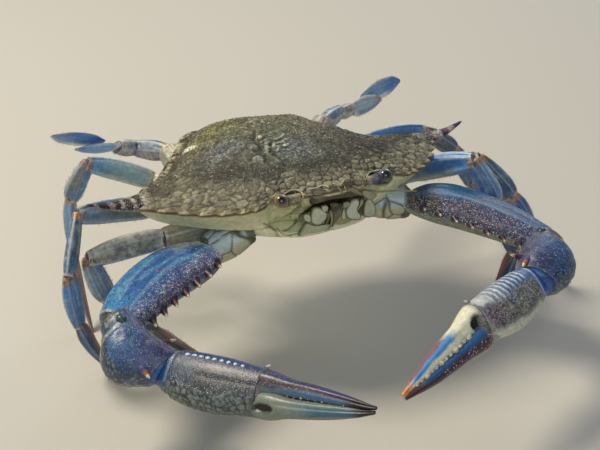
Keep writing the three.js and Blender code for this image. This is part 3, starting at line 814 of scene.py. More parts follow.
edgeCurve = marginCurve(np.array(carapace["margin"], float))
marginSpans = len(carapace["margin"]) - 1
domeMiddle = np.array(carapace["middle"], float)


def placeAlong(turn):
    # Where a turn lies along the margin, counted in its spans from the middle of the front.
    return np.abs(turn) / math.pi * marginSpans


def marginPoint(turn):
    turn = np.asarray(turn, float)
    part = np.minimum(np.abs(turn) / math.pi, 1)
    at = part * (len(edgeCurve) - 1)
    spot = np.stack([np.interp(at, np.arange(len(edgeCurve)), line) for line in edgeCurve.T], -1)
    side = np.where(turn < 0, -1, 1)
    droop = carapace["hindDroop"]
    spot[..., 0] *= side
    spot[..., 2] -= (side > 0) * droop["drop"] * bell(part, droop["at"], droop["spread"])
    for outward, upward, place, width in carapace["hindFlange"]:
        share = (side < 0) * bell(part * marginSpans, place, width)
        spot[..., 0] -= outward * share
        spot[..., 2] += upward * share
    return spot


def domePoint(turn, out):
    edge, ease = marginPoint(turn), carapace["ease"]
    even = np.mean([marginPoint(turn + shift * math.pi / marginSpans) for shift in ease["shifts"]], axis=0)
    share = bell(placeAlong(turn), ease["at"], ease["spread"]) * (1 - step(*ease["fade"], out))
    edge = mix(edge, even, share[..., None])
    spot = mix(domeMiddle, edge, np.asarray(out)[..., None])
    swelling = 0
    for rise, x, y, width in carapace["swellings"]:
        swelling = swelling + rise * np.exp(-((spot[..., 0] - x) ** 2 + (spot[..., 1] - y) ** 2) / width)
    spot[..., 2] = (edge[..., 2] * out ** 2 + swelling * (1 - out ** 6)
                    + carapace["domeHeight"] * (1 - out ** carapace["reach"]) ** carapace["power"])
    return spot


def patch(points, x, y, width, length, degrees=0):
    c, s = math.cos(math.radians(degrees)), math.sin(math.radians(degrees))
    dx, dy = points[:, 0] - x, points[:, 1] - y
    return np.exp(-((dx * c + dy * s) / width) ** 2 - ((dy * c - dx * s) / length) ** 2)


# What shows on the back: raised and sunk lines, and patches of colour, in mm from the middle.
shellMarks = {
    "rim": {
        "starts": [9.9, 10.7], "ends": [16.4, 17.6], "out": 0.962, "breadth": 0.0468,
        "height": 1.21, "beadHeight": 0.35, "trough": 0.895,
    },
    "band": [[-55, -5], [-48, -9], [-42.6, -12.4], [-34, -13.3], [-27, -12.8], [-21, -20],
             [-8, -23.7], [2.6, -25.3], [15.6, -23.5], [26, -17], [40, -11], [54, -6]],
    "oval": {"x": 28.7, "y": 15.0, "width": 1.25, "length": 3.2, "degrees": -27},
    "patches": [   # colour, strength, x, y, half width, half length, turned by
        ["#7f8a93", 0.65, -25.6, -1.5, 9, 7, 20],
        ["#76808a", 0.55, -3, -11, 9, 8, 0],
        ["#7b8186", 0.45, 24, -4, 9, 6, -20],
        ["#5f4c36", 0.9, -28.5, -10.5, 8, 4.2, 15],
        ["#2f2b26", 0.8, -41, -11.5, 9, 3.2, 12],
        ["#6d5a42", 0.4, 25, -12, 6, 3.6, -15],
        ["#968c48", 0.85, -21, 16, 10, 5, 15],
        ["#8d8652", 0.5, -42.5, -3, 5, 6, 30],
        ["#8d8652", 0.5, 42, -3, 5, 5, -30],
        ["#93875a", 0.55, 13.6, 13, 9, 4, 0],
        ["#55543f", 0.5, 0, 4, 12, 8, 0],
        ["#4b4a3c", 0.5, 33, -13, 8, 4, -20],
        ["#8f8a6c", 0.5, -12, -27, 12, 3, 0],
        ["#8f8a6c", 0.5, 8, -29, 12, 3, 0],
    ],
    "lobes": [   # x, y, half width, half length, height: the marks of the muscles inside
        [-15.5, -6.1, 1.9, 1.7, 0.7], [-17.3, -11.4, 2.4, 2.0, 0.8], [-10.9, -4.6, 1.6, 0.8, 0.6],
        [-10.6, -7.0, 1.7, 0.8, 0.65], [-10.3, -9.3, 1.8, 0.8, 0.65], [-10.0, -11.6, 1.6, 0.8, 0.6],
        [-6.6, -5.8, 1.6, 0.8, 0.5], [-6.2, -8.1, 1.7, 0.8, 0.5], [-5.8, -10.4, 1.6, 0.8, 0.5],
        [-11.2, -1.6, 1.3, 1.1, 0.5],
    ],
    "hollow": [-13.4, -1.1, 1.3, 1.1],
    "strayGrains": [   # colour, strength, then the share of grains passed over and a seed
        ["#d8d3be", 0.7, 0.78, 5], ["#2b241a", 0.8, 0.68, 9],
    ],
    "grainPaint": [0.78, "#b5b09c", 0.38],   # share of the shell's colour, then what is added to it
    "grooves": [   # depth, half breadth, then the line
        [0.35, 1.3, [[-19.5, -15], [-13.8, -9.5], [-13.2, -4], [-16, 3], [-15, 10]]],
        [0.3, 1.3, [[19.5, -15], [13.8, -9.5], [13.2, -4], [16, 3], [15, 10]]],
        [0.2, 2.2, [[-19.5, -15], [-24, -21], [-27, -26]]],
        [0.2, 2.2, [[19.5, -15], [24, -21], [27, -26]]],
        [0.2, 1.3, [[-13.2, -4], [0, -3.2], [13.2, -4]]],
    ],
}


# The teeth of the front edge: low, broad and ragged, between the eye and the long spine.
sideTeeth = {
    "first": 5.05, "last": 9.75, "pitch": 0.585, "height": 1.9, "lean": 0.62, "ragged": 0.5,
    "rise": 0.12,
}


def toothHeight(part, spots):
    inRow = stretch(part, sideTeeth["first"], sideTeeth["last"], 0.06)
    along = (part - sideTeeth["first"]) / sideTeeth["pitch"] % 1
    lean = sideTeeth["lean"]
    rise = np.where(along < lean, along / lean, (1 - along) / (1 - lean))
    ragged = sideTeeth["ragged"] * (cloud(spots, 0.9, 41) - 0.5)
    return inRow * np.clip(rise ** 0.85 * sideTeeth["height"] + ragged, 0, None)


def carapaceSkin():
    share = np.linspace(-1, 1, carapace["around"], endpoint=False)
    turns = math.pi * np.sign(share) * np.abs(share) ** carapace["crowding"]
    outs = through(carapace["ringStops"], np.linspace(0, 1, carapace["rings"]))
    dome = [domePoint(turns, np.full(len(turns), out)) for out in outs]
    edge, part = marginPoint(turns), placeAlong(turns)
    # the fold: many rings down to the last stop but two, then the closing ones
    stops = np.array(carapace["under"])
    closing = len(stops) - 3
    at = np.concatenate([np.linspace(0, closing, carapace["foldRows"]), [closing + 1, closing + 2]])
    folds = np.stack([np.interp(at, np.arange(len(stops)), column) for column in stops.T], -1)
    for out, drop in folds:
        spot = mix(domeMiddle, edge, out)
        spot[:, 2] = np.maximum(edge[:, 2] - drop, carapace["shellFloor"])
        dome.append(spot)
    rows = np.concatenate([outs, 2 - folds[:, 0]])[:, None]
    tooth = toothHeight(part, edge) * step(0.93, 1.0, rows) * step(1.02, 1.002, rows)
    outward = unit((edge - domeMiddle) * [1, 1, 0]) + [0, 0, sideTeeth["rise"]]
    shape = skinOf(np.stack(dome) + outward * tooth[..., None], "#77715a")
    for key, values in (("tooth", tooth), ("out", rows), ("part", part)):
        shape[key] = spread(shape, values)
    return shape


def paintCarapace(shape):
    spots, out, part = shape["spots"], shape["out"], shape["part"]
    top = out <= 1.0
    x, y = spots[:, 0], spots[:, 1]
    front = step(0.66, 0.86, out) * step(9.6, 8.2, part) * top
    inner = 1 - step(0.9, 1.0, out)
    net, which, first = pebbles(spots, 1.9)
    wideNet, wideWhich, _ = pebbles(spots * [1, 1.35, 1], 3.0, 5)
    broad = cloud(spots, 9, 3)
    middling = cloud(spots, 3.2, 11)
    small = cloud(spots, 1.5, 17)
    relief = -carapace["settle"] * (1 - out ** 8) * top
    relief = relief + top * inner * 0.2 * (1 - step(0, 0.35, first) * 0.9)
    leftField = step(10, 26, x) * step(12, 0, y) * top
    scaled = np.maximum(front, leftField)
    relief = relief - top * scaled * 0.5 * (1 - step(0.03, 0.22, wideNet))
    # ground colours
    lay(shape, "#45412f", step(0.5, 0.22, middling) * 0.65)
    lay(shape, "#98917a", step(0.5, 0.72, middling) * 0.55)
    lay(shape, "#5f5e49", step(0.4, 0.65, broad) * 0.45)
    for colour, strength, px, py, width, length, degrees in shellMarks["patches"]:
        lay(shape, colour, patch(spots, px, py, width, length, degrees) * strength
            * (0.6 + 0.8 * middling))
    band = bell(nearLine(spots, shellMarks["band"]), 0, 4.4) * step(0.25, 0.45, small) * top
    lay(shape, "#211e17", band)
    lay(shape, "#2f2c20", top * step(0.52, 0.3, small) * (1 - front) * 0.5)
    # the pale crazed field behind the front edge
    lay(shape, "#a0977a", front * 0.66 * (0.6 + 0.7 * wideWhich))
    lay(shape, "#bdb394", front * step(0.7, 0.75, wideWhich) * 0.6)
    lay(shape, "#2c281b", front * (1 - step(0.03, 0.17, wideNet)) * 0.95)
    lay(shape, "#2f2c20", top * (1 - front) * (1 - step(0.02, 0.22, net)) * 0.8)
    lay(shape, "#211e14", leftField * (1 - step(0.05, 0.2, wideNet)) * 0.9)
    lay(shape, "#a59e84", leftField * step(0.3, 0.6, wideNet) * 0.45)
    lay(shape, "#a9a288", top * step(0.35, 0.8, net) * step(0.35, 0.6, which) * 0.5)
    # marks of the muscles, and the grooves between the regions
    for px, py, width, length, height in shellMarks["lobes"]:
        for side, share in ((1, 1.0), (-1, 0.55)):
            lobe = patch(spots, px * side, py, width, length) * top * share
            relief = relief + height * lobe
            lay(shape, "#a9a48b", step(0.45, 0.75, lobe) * 0.55 * share)
            lay(shape, "#2c2a1f", bell(lobe, 0.26, 0.15) * 0.85 * top * share)
    hollow = patch(spots, *shellMarks["hollow"]) * top
    relief = relief - 0.35 * hollow
    lay(shape, "#2c2a20", hollow * 0.8)
    for depth, width, line in shellMarks["grooves"]:
        groove = bell(nearLine(spots, line), 0, width) * top * inner
        relief = relief - depth * 0.5 * groove
        lay(shape, "#45412f", groove * 0.15)
    # the raised, beaded rim of the rear sides, the groove inside it, and a pale oval on each side
    rim = shellMarks["rim"]
    along = step(*rim["starts"], part) * (1 - step(*rim["ends"], part))
    ridge = bell(out, rim["out"], rim["breadth"]) * along * top
    bead = step(0.35, 0.65, cloud(spots, 1.7, 61))
    relief = relief + ridge * (rim["height"] + rim["beadHeight"] * bead)
    lay(shape, "#564a31", step(0.1, 0.4, ridge) * 0.9)
    lay(shape, "#aca184", step(0.2, 0.6, ridge) * bead * 0.9)
    lay(shape, "#2c2318", step(0.15, 0.5, ridge) * step(0.3, 0.1, bead) * 0.9)
    trough = bell(out, rim["trough"], 0.028) * along * top
    relief = relief - 0.6 * trough
    lay(shape, "#2f2a19", trough * 0.85)
    oval = shellMarks["oval"]
    ovals = [patch(spots, oval["x"] * side, oval["y"], oval["width"], oval["length"],
                   oval["degrees"] * side) * top for side in (-1, 1)]
    for spot in ovals:
        relief = relief + 0.7 * step(0.3, 0.8, spot)
        lay(shape, "#b9b5a0", step(0.32, 0.5, spot))
    # the edge itself, a thin dark line of painted shadow just under it, and the smooth pale fold beneath,
    # painted lighter on its lowest rows as painted light
    lip = bell(out, 0.99, 0.02) * stretch(part, 5, 9.8, 0.1)
    lay(shape, "#5c4a30", lip * step(1.0, 0.4, shape["tooth"]) * 0.9)
    lay(shape, "#968b6c", step(0.9, 1.5, shape["tooth"]) * 0.75)
    below = step(1.006, 1.014, out)
    lay(shape, "#b9b285", below)
    # a thin dark line just under the edge: painted shadow of the edge
    lay(shape, "#55432a", bell(out, 1.005, 0.006) * 0.9)
    lay(shape, "#c1bb94", step(1.03, 1.07, out) * 0.7)
    lay(shape, "#8f8b66", step(0.5, 0.8, cloud(spots, 5, 31)) * below * 0.4)
    # the fold's lowest rows face down into shade: painting them lighter here is painted light
    lay(shape, "#cfc99f", step(1.08, 1.16, out) * 0.8)
    setGloss(shape, 0.72, top.astype(float))
    setGloss(shape, 0.42, below)
    shiftOut(shape, relief)
    # where granules stand, how large, and in which colour
    grit = top * (1 - step(0.992, 1.0, out)) * (0.45 + 0.55 * step(0.3, 0.6, middling))
    grit = grit * (1 - scaled + scaled * 0.35 * step(0.12, 0.25, wideNet))
    grit = grit * (1 - 0.85 * step(0.2, 0.6, ridge)) * (0.4 + 0.6 * step(0.03, 0.14, net))
    grit = grit * (1 - 0.65 * step(0.1, 0.6, patch(spots, -13, -7, 13, 10)))
    for spot in ovals:
        grit = grit * (1 - step(0.2, 0.4, spot))
    shape["grit"] = grit
    shape["paint"] = shape["paint"] * np.array(carapace["tint"])
    for shares, px, py, width, length in carapace["shades"]:
        region = patch(spots, px, py, width, length)[:, None] * top[:, None]
        shape["paint"] = shape["paint"] * (1 + (np.array(shares) - 1) * region)
    kept, added, share = shellMarks["grainPaint"]
    shape["gritPaint"] = shape["paint"] * kept + toLinear(added) * share
    for colour, strength, above, seed in shellMarks["strayGrains"]:
        stray = step(above, above + 0.02, flecks(spots, 0.7, seed))
        shape["gritPaint"] = mix(shape["gritPaint"], toLinear(colour), stray[:, None] * strength)
    shape["cells"] = top * (1 - 0.6 * front)
    return shape


# The face. Ridges and lines lie on the shell along the camera's lines of sight; the mouth's
# plates lie on a plane across the mouth.

def tube(points, radii, hexColour, around=8):
    points = np.array(points, float)
    ways = unit(np.gradient(points, axis=0))
    side = unit(np.cross(ways, cameraAhead))
    angle = roundTurns(around)[..., None]
    ring = side[:, None] * np.cos(angle) + np.cross(side, ways)[:, None] * np.sin(angle)
    radii = np.broadcast_to(radii, len(points))[:, None, None]
    return skinOf(points[:, None] + ring * radii, hexColour)


def smoothLine(points, count, closed=False):
    points = np.array(points, float)
    if closed:
        points = np.vstack([points, points[:1]])
    lengths = np.concatenate([[0], np.cumsum(np.linalg.norm(np.diff(points, axis=0), axis=1))])
    at = np.linspace(0, lengths[-1], count, endpoint=not closed)
    dense = np.stack([np.interp(at, lengths, points[:, i]) for i in range(points.shape[1])], -1)
    for _ in range(3):
        if closed:
            dense = (np.roll(dense, 1, 0) + dense * 2 + np.roll(dense, -1, 0)) / 4
        else:
            dense[1:-1] = (dense[:-2] + dense[1:-1] * 2 + dense[2:]) / 4
    return dense


face = {
    "plane": {"spot": [0, -33.0, -6], "normal": [0, -0.985, -0.16]},
    "outline": 44, "rings": 9, "plateSpread": 1.24, "plateLift": 0.3,
    "plates": {   # pixel outline, height in mm, colour
        "rightPlate": [[[312, 215], [313.5, 210], [317, 208.3], [321, 209.5], [323, 212.3], [325.6, 212.8],
            [326, 216], [324, 220], [320.5, 223.3], [315.5, 224], [311.8, 221.5], [312.3, 218]], 1.1,
            "#cdcfb4"],
        "rightOuterPlate": [[[304, 216], [306, 214.2], [309.5, 215.5], [310.5, 218.5], [310, 221.5],
            [306.5, 221.5], [304.5, 219]], 0.7, "#bfc2a2"],
        "rightLowerPlate": [[[311, 225.4], [316, 226.2], [323, 225], [328.5, 224.4], [329, 226.5],
            [326, 229.5], [318, 231.5], [308, 233], [300, 235.5], [303, 230], [306, 225], [308, 222.8]],
            0.9, "#b6bd92"],
        "rightKnuckle": [[[322, 206.5], [326, 205.5], [328, 207.5], [327, 210.5], [324, 211.5],
            [322, 209.5]], 0.9, "#c2bc9c"],
        "rightPalp": [[[330, 211], [331.5, 211.5], [333, 216], [332.5, 221], [331.5, 226], [330, 224.5],
            [331, 219], [329.5, 214]], 1.0, "#8f8966"],
        "palpBase": [[[331, 204.5], [338, 204], [340, 208], [337, 213.5], [334, 214.5], [331.5, 209.5]],
            1.2, "#352b1e"],
        "rightPalpSide": [[[326.8, 214], [329, 213.5], [330, 218], [328, 223], [325, 223.3], [327, 219]],
            0.7, "#5e5634"],
        "leftPalp": [[[334, 216], [339, 210], [341.5, 211], [339.5, 217], [335, 222], [332.8, 226],
            [333.6, 221]], 0.9, "#6a6340"],
        "leftKnuckle": [[[343, 206], [344, 202.8], [348, 201.8], [349.8, 203], [348.5, 206], [345, 207.8]],
            0.9, "#9a977e"],
        "leftStrip": [[[341.7, 216.5], [343, 210], [344.8, 209.5], [345, 214], [345.5, 218], [342.5, 219]],
            0.8, "#c0c29e"],
        "leftPlate": [[[346.8, 210], [350, 206], [351.5, 202], [354, 200.5], [358, 200.5], [359, 203],
            [357, 207], [355.7, 210.5], [359.5, 214], [360, 218], [354, 218.5], [349, 217.5], [347, 215]],
            1.1, "#cdd0b8"],
        "leftHook": [[[360.3, 200.5], [362.5, 200.3], [363, 203], [360.5, 206], [357.8, 210], [357.2, 211],
            [357.8, 208], [360, 204]], 0.7, "#a5a78a"],
        "leftOuterPlate": [[[364.5, 210], [366, 203], [369, 199], [372.5, 202.5], [374.6, 207],
            [374.3, 214.5], [369, 216], [364.8, 215.5]], 0.9, "#bcc0a4"],
        "leftCheek": [[[362, 192], [366, 190.5], [371, 192], [376, 195], [372, 199], [368, 198.5],
            [364.5, 196]], 0.8, "#a3a78e"],
        # upperWall: dark brown, painted shade for the shadowed gap under the front edge
        "upperWall": [[[313, 199.6], [318, 196.4], [325, 194.6], [335, 193], [346, 191.2], [357, 192.2],
            [361, 195.6], [353, 196], [344, 197.4], [333, 198.6], [323, 200.8], [316, 204.4]], 0.4,
            "#443b28"],
        "rightAntennule": [[[313, 191], [318, 189.6], [323, 190.3], [327, 191.5], [326, 193.5],
            [320, 194.5], [314, 194.5]], 1.0, "#8a8268"],
        "rightFold": [[[312, 196.5], [318, 195.6], [325, 194.8], [331, 194.5], [330, 196.5], [322, 197.6],
            [315, 199]], 0.8, "#7c745a"],
        "middleFold": [[[331, 187], [335, 187.5], [339, 189], [341.5, 192.5], [337, 192], [333, 191.5],
            [330.5, 194.5], [330.5, 190]], 1.2, "#85795c"],
        "leftFold": [[[345, 186], [350, 186.5], [356, 188.5], [360, 192], [362, 195], [356, 193.5],
            [350, 190.5], [345.5, 189]], 1.1, "#8b8266"],
        "leftAntennule": [[[346, 182], [350, 181], [353.5, 182.5], [352.5, 184.5], [348, 185.2]], 1.0,
            "#5d5340"],
        "leftBrow": [[[354, 181], [359, 180], [364, 180.6], [366, 182.5], [361, 184], [355.5, 184.2]], 1.0,
            "#8f8770"],
    },
    "ridges": {   # pixel line, radius in mm, colour
        "rightFront": [[[309, 189.4], [312, 188.8], [316, 188.2], [319.5, 186.6], [322, 185.4], [326, 186],
            [329, 187.8], [331.5, 189.6]], 0.3, "#d2c6a4"],
        "leftFront": [[[341.5, 184.6], [342.6, 182.4], [344, 180.6], [346.5, 179.3], [350, 179],
            [353, 180.4]], 0.28, "#c9bd9a"],
        "middleFrontA": [[[331, 181.5], [333, 184], [336, 184.6]], 0.24, "#b3a684"],
        "middleFrontB": [[[337.5, 187.5], [340.5, 189.8], [342.5, 192.6], [343.8, 194.6]], 0.24, "#b3a684"],
        "middleFrontC": [[[343.6, 184], [344.6, 187.4], [346, 190], [349, 192]], 0.24, "#a89c7c"],
        "leftBrowLine": [[[351, 184.6], [354, 186.2], [358, 186.5], [361, 186]], 0.2, "#b8ab8b"],
        "rightOrbit": [[[283.4, 194.8], [286, 192.8], [289, 190.9], [292, 190], [296, 189.7], [300, 191],
            [302.8, 193.6], [303.6, 197], [302.6, 200.4], [300, 203], [296, 204.6]], 0.3, "#c6bc9c"],
        "rightOrbitOut": [[[283.4, 194.8], [279.6, 196], [277, 199], [276.6, 203]], 0.26, "#b5ab84"],
        "leftOrbit": [[[366.6, 178.4], [367.6, 174.6], [369.4, 172.2], [373, 171.3], [377.6, 170.8],
            [382, 170], [386.6, 170.6], [390.2, 173], [392.6, 176.4]], 0.3, "#c2ba98"],
        "leftOrbitLow": [[[367, 180.6], [370, 183], [375, 184.6], [380, 185.6]], 0.24, "#a5a084"],
        "epistomeEdge": [[[317, 197.6], [314.5, 201.4], [311.5, 204.6], [307.4, 208], [302.6, 211.6]], 0.3,
            "#989273"],
    },
    "lines": [   # pixel line, half width in pixels, colour, depth in mm
        [[[257, 138.5], [261, 137.5]], 2.0, "#c3c2ae", -0.35],
        [[[252, 147.5], [256, 146.5]], 2.4, "#8f938c", -0.35],
        [[[254.5, 159], [260.5, 159]], 3.2, "#9c9c88", -0.35],
        [[[266.5, 143], [267, 149.5]], 1.7, "#adae92", -0.3],
        [[[273, 144], [279, 142.4]], 1.2, "#b3b29a", -0.25],
        [[[273, 147], [279.5, 146.2]], 1.3, "#a9a994", -0.25],
        [[[280.6, 137], [283.2, 134.4]], 1.0, "#c3c2ae", -0.2],
        [[[283.4, 141], [284, 141.4]], 1.2, "#dcdbcc", -0.3],
        [[[254.5, 134], [254.2, 137], [253.8, 140]], 1.4, "#201f14", 0.45],
        [[[256, 143.4], [258.6, 145], [260, 148], [261.4, 150]], 1.6, "#1d1d1a", 0.5],
        [[[258.6, 150.6], [256, 151.6], [253, 149.4]], 1.0, "#23241a", 0.3],
        [[[250.4, 160], [251.4, 157.5], [253.5, 155.2], [256.8, 154], [260.5, 154.6], [264, 156]], 1.2,
         "#201f14", 0.45],
        [[[265.6, 156.6], [265.6, 161.6]], 1.8, "#25221f", 0.3],
        [[[271.4, 142], [270.4, 144], [271.2, 146.5], [271.2, 149], [270.2, 151.4]], 1.5, "#201d14", 0.5],
        [[[272.8, 155.4], [273.8, 153.2], [276, 155]], 1.2, "#2b2c20", 0.3],
        [[[264.6, 136.4], [262.6, 139.6], [258.6, 140.8]], 1.0, "#33342a", 0.25],
        [[[275.4, 141.8], [280, 140.8]], 0.9, "#33342a", 0.2],
        [[[276.6, 144.8], [280, 144]], 0.9, "#33342a", 0.2],
        [[[273.4, 149.4], [276.4, 148.6]], 0.9, "#33342a", 0.2],
        [[[316, 203], [308, 210], [301, 215], [297, 220], [292, 226], [288, 229], [283, 230.5]], 0.8,
         "#2f3219", 0.45],
        [[[299, 217.5], [303, 219], [304.8, 222], [304, 226], [301, 229.5], [296, 233], [289, 236]], 0.55,
         "#45492a", 0.3],
        [[[277, 228], [281, 233], [285, 235.3], [291, 236]], 0.5, "#53582f", 0.2],
        [[[264, 224], [272, 227], [276, 232], [278.5, 238]], 0.9, "#343a1c", 0.3],
        [[[288, 215], [292, 214.2], [296, 213]], 0.5, "#7f8a62", 0.1],
        [[[275, 218.5], [285, 217.5], [291, 216.5]], 0.5, "#8d9168", 0.1],
    ],
    "behind": -12.0, "backAbove": 180,   # y in mm, and the pixel row above which a line is on the back
    # the gap under the shell's front, painted dark brown as painted shade
    "shadedCavity": [[300, 216.5], [307, 209.5], [313, 204.5], [318, 199.5], [324, 197.6], [331, 196.6],
               [338, 195.5], [346, 192.5], [352, 192], [358, 194.5], [364, 197.5], [361, 200],
               [352, 200.5], [345, 203], [341, 209], [336, 217], [333, 221], [329, 214],
               [327, 206.5], [321, 207], [314, 208.5], [308, 213.5]],
    "mouth": [[300, 216.5], [307, 209.5], [318, 199.5], [331, 196.6], [352, 192], [364, 197.5],
              [366, 203], [363.5, 219], [350, 220.5], [334, 227.5], [328, 225], [311, 225],
              [306, 223], [303, 219]],
    "orbits": {
        "R": [[284, 194.5], [290, 191], [296, 190.3], [301, 192.5], [303.2, 197], [301, 201.5], [295, 205],
              [288, 208], [281, 208], [277, 204.5], [276.6, 199.5], [279.5, 196]],
        "L": [[367.5, 180], [368, 174.5], [371, 172], [380, 170.8], [387, 170.8], [391.5, 175],
              [391.5, 180], [387, 185], [380, 185.5], [371, 182.5]],
    },
    "yellowSpot": [[296.5, 204.5], [300, 202], [302, 204], [301, 207.5], [297.5, 207.5]],
    "eyeRoots": [
        [[266, 199], [269, 195.5], [274, 194.5], [277.5, 197], [276, 203], [271, 206.5], [267, 204.5]],
        [[356, 175], [360, 172], [366, 172], [368, 176], [366, 180], [359, 180.5]],
    ],
}


face["fields"] = [   # outline, softness in pixels, part, colour, strength, depth in mm
    # the mouth's own pale olive, painted lighter to offset the shade under the shell's front: partly
    # painted light
    [face["mouth"], 1.0, "under", "#a39f72", 0.9, 0.3],
    # painted shade: the gap under the shell's front is painted dark brown
    [face["shadedCavity"], 1.0, "under", "#4a3d26", 0.96, 0.2],
    *([orbit, 0.9, "all", "#2b2418", 0.92, 0.9] for orbit in face["orbits"].values()),
    *([root, 1.2, "all", "#a8a076", 0.8, -0.3] for root in face["eyeRoots"]),
    [face["yellowSpot"], 0.8, "all", "#8f9648", 0.85, 0],
]


def plateShape(outline, height, hexColour):
    plane = face["plane"]
    ring = smoothLine(outline, face["outline"], closed=True)
    spots = np.array([onPlane(pixel, plane["spot"], plane["normal"]) for pixel in ring])
    middle = spots.mean(0)
    spots = middle + (spots - middle) * face["plateSpread"]
    rings = np.linspace(1, 0.06, face["rings"])
    grid = [middle + (spots - middle) * 0.9 - height * 0.9 * np.array(plane["normal"])]
    for share in rings:
        lift = height * face["plateLift"] * (1 - share ** 5) ** 0.7
        grid.append(middle + (spots - middle) * share + np.array(plane["normal"]) * lift)
    shape = skinOf(np.stack(grid), hexColour, 0.38)
    level = spread(shape, np.concatenate([[1.1], rings])[:, None])
    lay(shape, "#33351c", step(0.78, 0.95, level) * 0.9)
    lay(shape, "#8f9568", step(0.45, 0.65, cloud(shape["spots"], 1.6, 12)) * 0.3)
    return shape


def markFace(shape):
    # Lines and dark hollows, on whatever faces the camera at the front of the body. A skin's
    # "under" is 1 on its underside and 0 on its back, and a skin without it is all underside.
    places = toPixel(shape["spots"])
    seen = step(0.0, 0.2, -(shape["normal"] @ cameraAhead))
    facing = seen * (shape["spots"][:, 1] < face["behind"])
    under = shape.get("under", 1)
    relief = 0
    for line, width, colour, depth in face["lines"]:
        onBack = line[0][1] < face["backAbove"]
        mark = bell(nearLine(places, line), 0, width) * (seen * (1 - under) if onBack else facing * under)
        if onBack and "grit" in shape:
            shape["grit"] = shape["grit"] * (1 - step(0.1, 0.4, mark))
        lay(shape, colour, mark * 0.9)
        relief = relief - depth * mark
    for outline, soft, part, colour, strength, depth in face["fields"]:
        field = softWithin(places, outline, soft) * facing * (under if part == "under" else 1)
        lay(shape, colour, field * strength)
        relief = relief - depth * field
    return shiftOut(shape, relief)


eyes = {
    "from": [11.5, -30.6, 1.2], "to": [20.6, -31.6, 1.6],
    "ball": {"R": [19.7, -31.7, 2.1], "L": [20.7, -31.5, 2.2]}, "radius": 2.4, "flat": 0.94,
    "wide": [[0, 1.5], [0.5, 1.6], [0.72, 2.1], [1, 2.0]], "stalkEnd": 0.8,
    "stalk": {"R": ["#8d8068", "#c2b48c"], "L": ["#59646a", "#39434c"]},
    "stalkBands": [["#1d1812", 17.6, 0.45, 0.95], ["#b8ab86", 14.2, 1.1, 0.6]],
    "cornea": {"R": ["#7a6a4e", "#a89468", "#6f5c40"], "L": ["#585d5e", "#7d807c", "#33383b"]},
    "pupil": ["#2a2018", "#110c0b"], "pupilTurn": [0.12, 0, 0.1],
}


def eyeShapes(sideName):
    turn = np.array([sides[sideName], 1, 1])
    start, end, ball = (
        np.array(spot) * turn for spot in (eyes["from"], eyes["to"], eyes["ball"][sideName])
    )
    t = np.linspace(0, eyes["stalkEnd"], 22)
    ground, mottled = eyes["stalk"][sideName]
    stalk = tube(mix(start, end, t[:, None]), through(eyes["wide"], t), ground, 24)
    lay(stalk, mottled, step(0.45, 0.65, cloud(stalk["spots"], 1.1, 4)) * 0.7)
    for colour, place, width, strength in eyes["stalkBands"]:
        lay(stalk, colour, bell(np.abs(stalk["spots"][:, 0]), place, width) * strength)
    axis = unit(end - start)
    second = unit(np.cross(axis, [0, 0, 1.0]))
    radius = eyes["radius"]
    ground, outer, inner = eyes["cornea"][sideName]
    ways, sizes = (second, np.cross(axis, second), axis), (radius, radius * eyes["flat"], radius)
    cornea = ellipsoid(ball, ways, sizes, 40, 26, 0.08, ground, 0.22)
    toCamera = unit(eyes["pupilTurn"] - cameraAhead)
    away = np.linalg.norm(unit(cornea["spots"] - ball) - toCamera, axis=1)
    lay(cornea, outer, bell(away, 0.98, 0.16) * 0.8)
    lay(cornea, eyes["pupil"][0], bell(away, 0.78, 0.07) * 0.8)
    lay(cornea, inner, bell(away, 0.6, 0.09) * 0.8)
    lay(cornea, eyes["pupil"][1], step(0.58, 0.46, away))
    return stalk, cornea


feeler = {
    "from": [12.5, -32.6, -2.2], "to": [30, -37, -3.4], "sag": 0.5,
    "radius": [[0, 1.15], [0.1, 1.1], [0.2, 0.62], [0.3, 0.36], [1, 0.16]], "rings": 44,
}


def feelerShape(side):
    start, end = (np.array(feeler[key]) * [side, 1, 1] for key in ("from", "to"))
    t = np.linspace(0, 1, 150)
    spots = mix(start, end, t[:, None]) + [0, 0, 1.0] * (feeler["sag"] * np.sin(math.pi * t))[:, None]
    rings = 1 + 0.12 * np.sin(t * 2 * math.pi * feeler["rings"]) * (t > 0.3)
    shape = tube(spots, through(feeler["radius"], t) * rings, "#aaa67f", 12)
    reach = np.linalg.norm(shape["spots"] - start, axis=1) / np.linalg.norm(end - start)
    lay(shape, "#77704d", (0.5 + 0.5 * np.sin(reach * 2 * math.pi * feeler["rings"])) * 0.7)
    lay(shape, "#b3a982", (1 - step(0.1, 0.25, reach)) * 0.6)
    return shape


# The body of the outer mouthpart, behind its plates.
mouthpart = {
    "from": [6, -32, -4.0], "to": [5.4, -30.5, -13], "breadth": [[0, 4], [0.3, 5.1], [0.8, 4.6], [1, 3]],
    "depth": [[0, 0.88], [0.5, 1.2], [1, 0.88]], "roundness": 2.3, "end": 0.05,
}


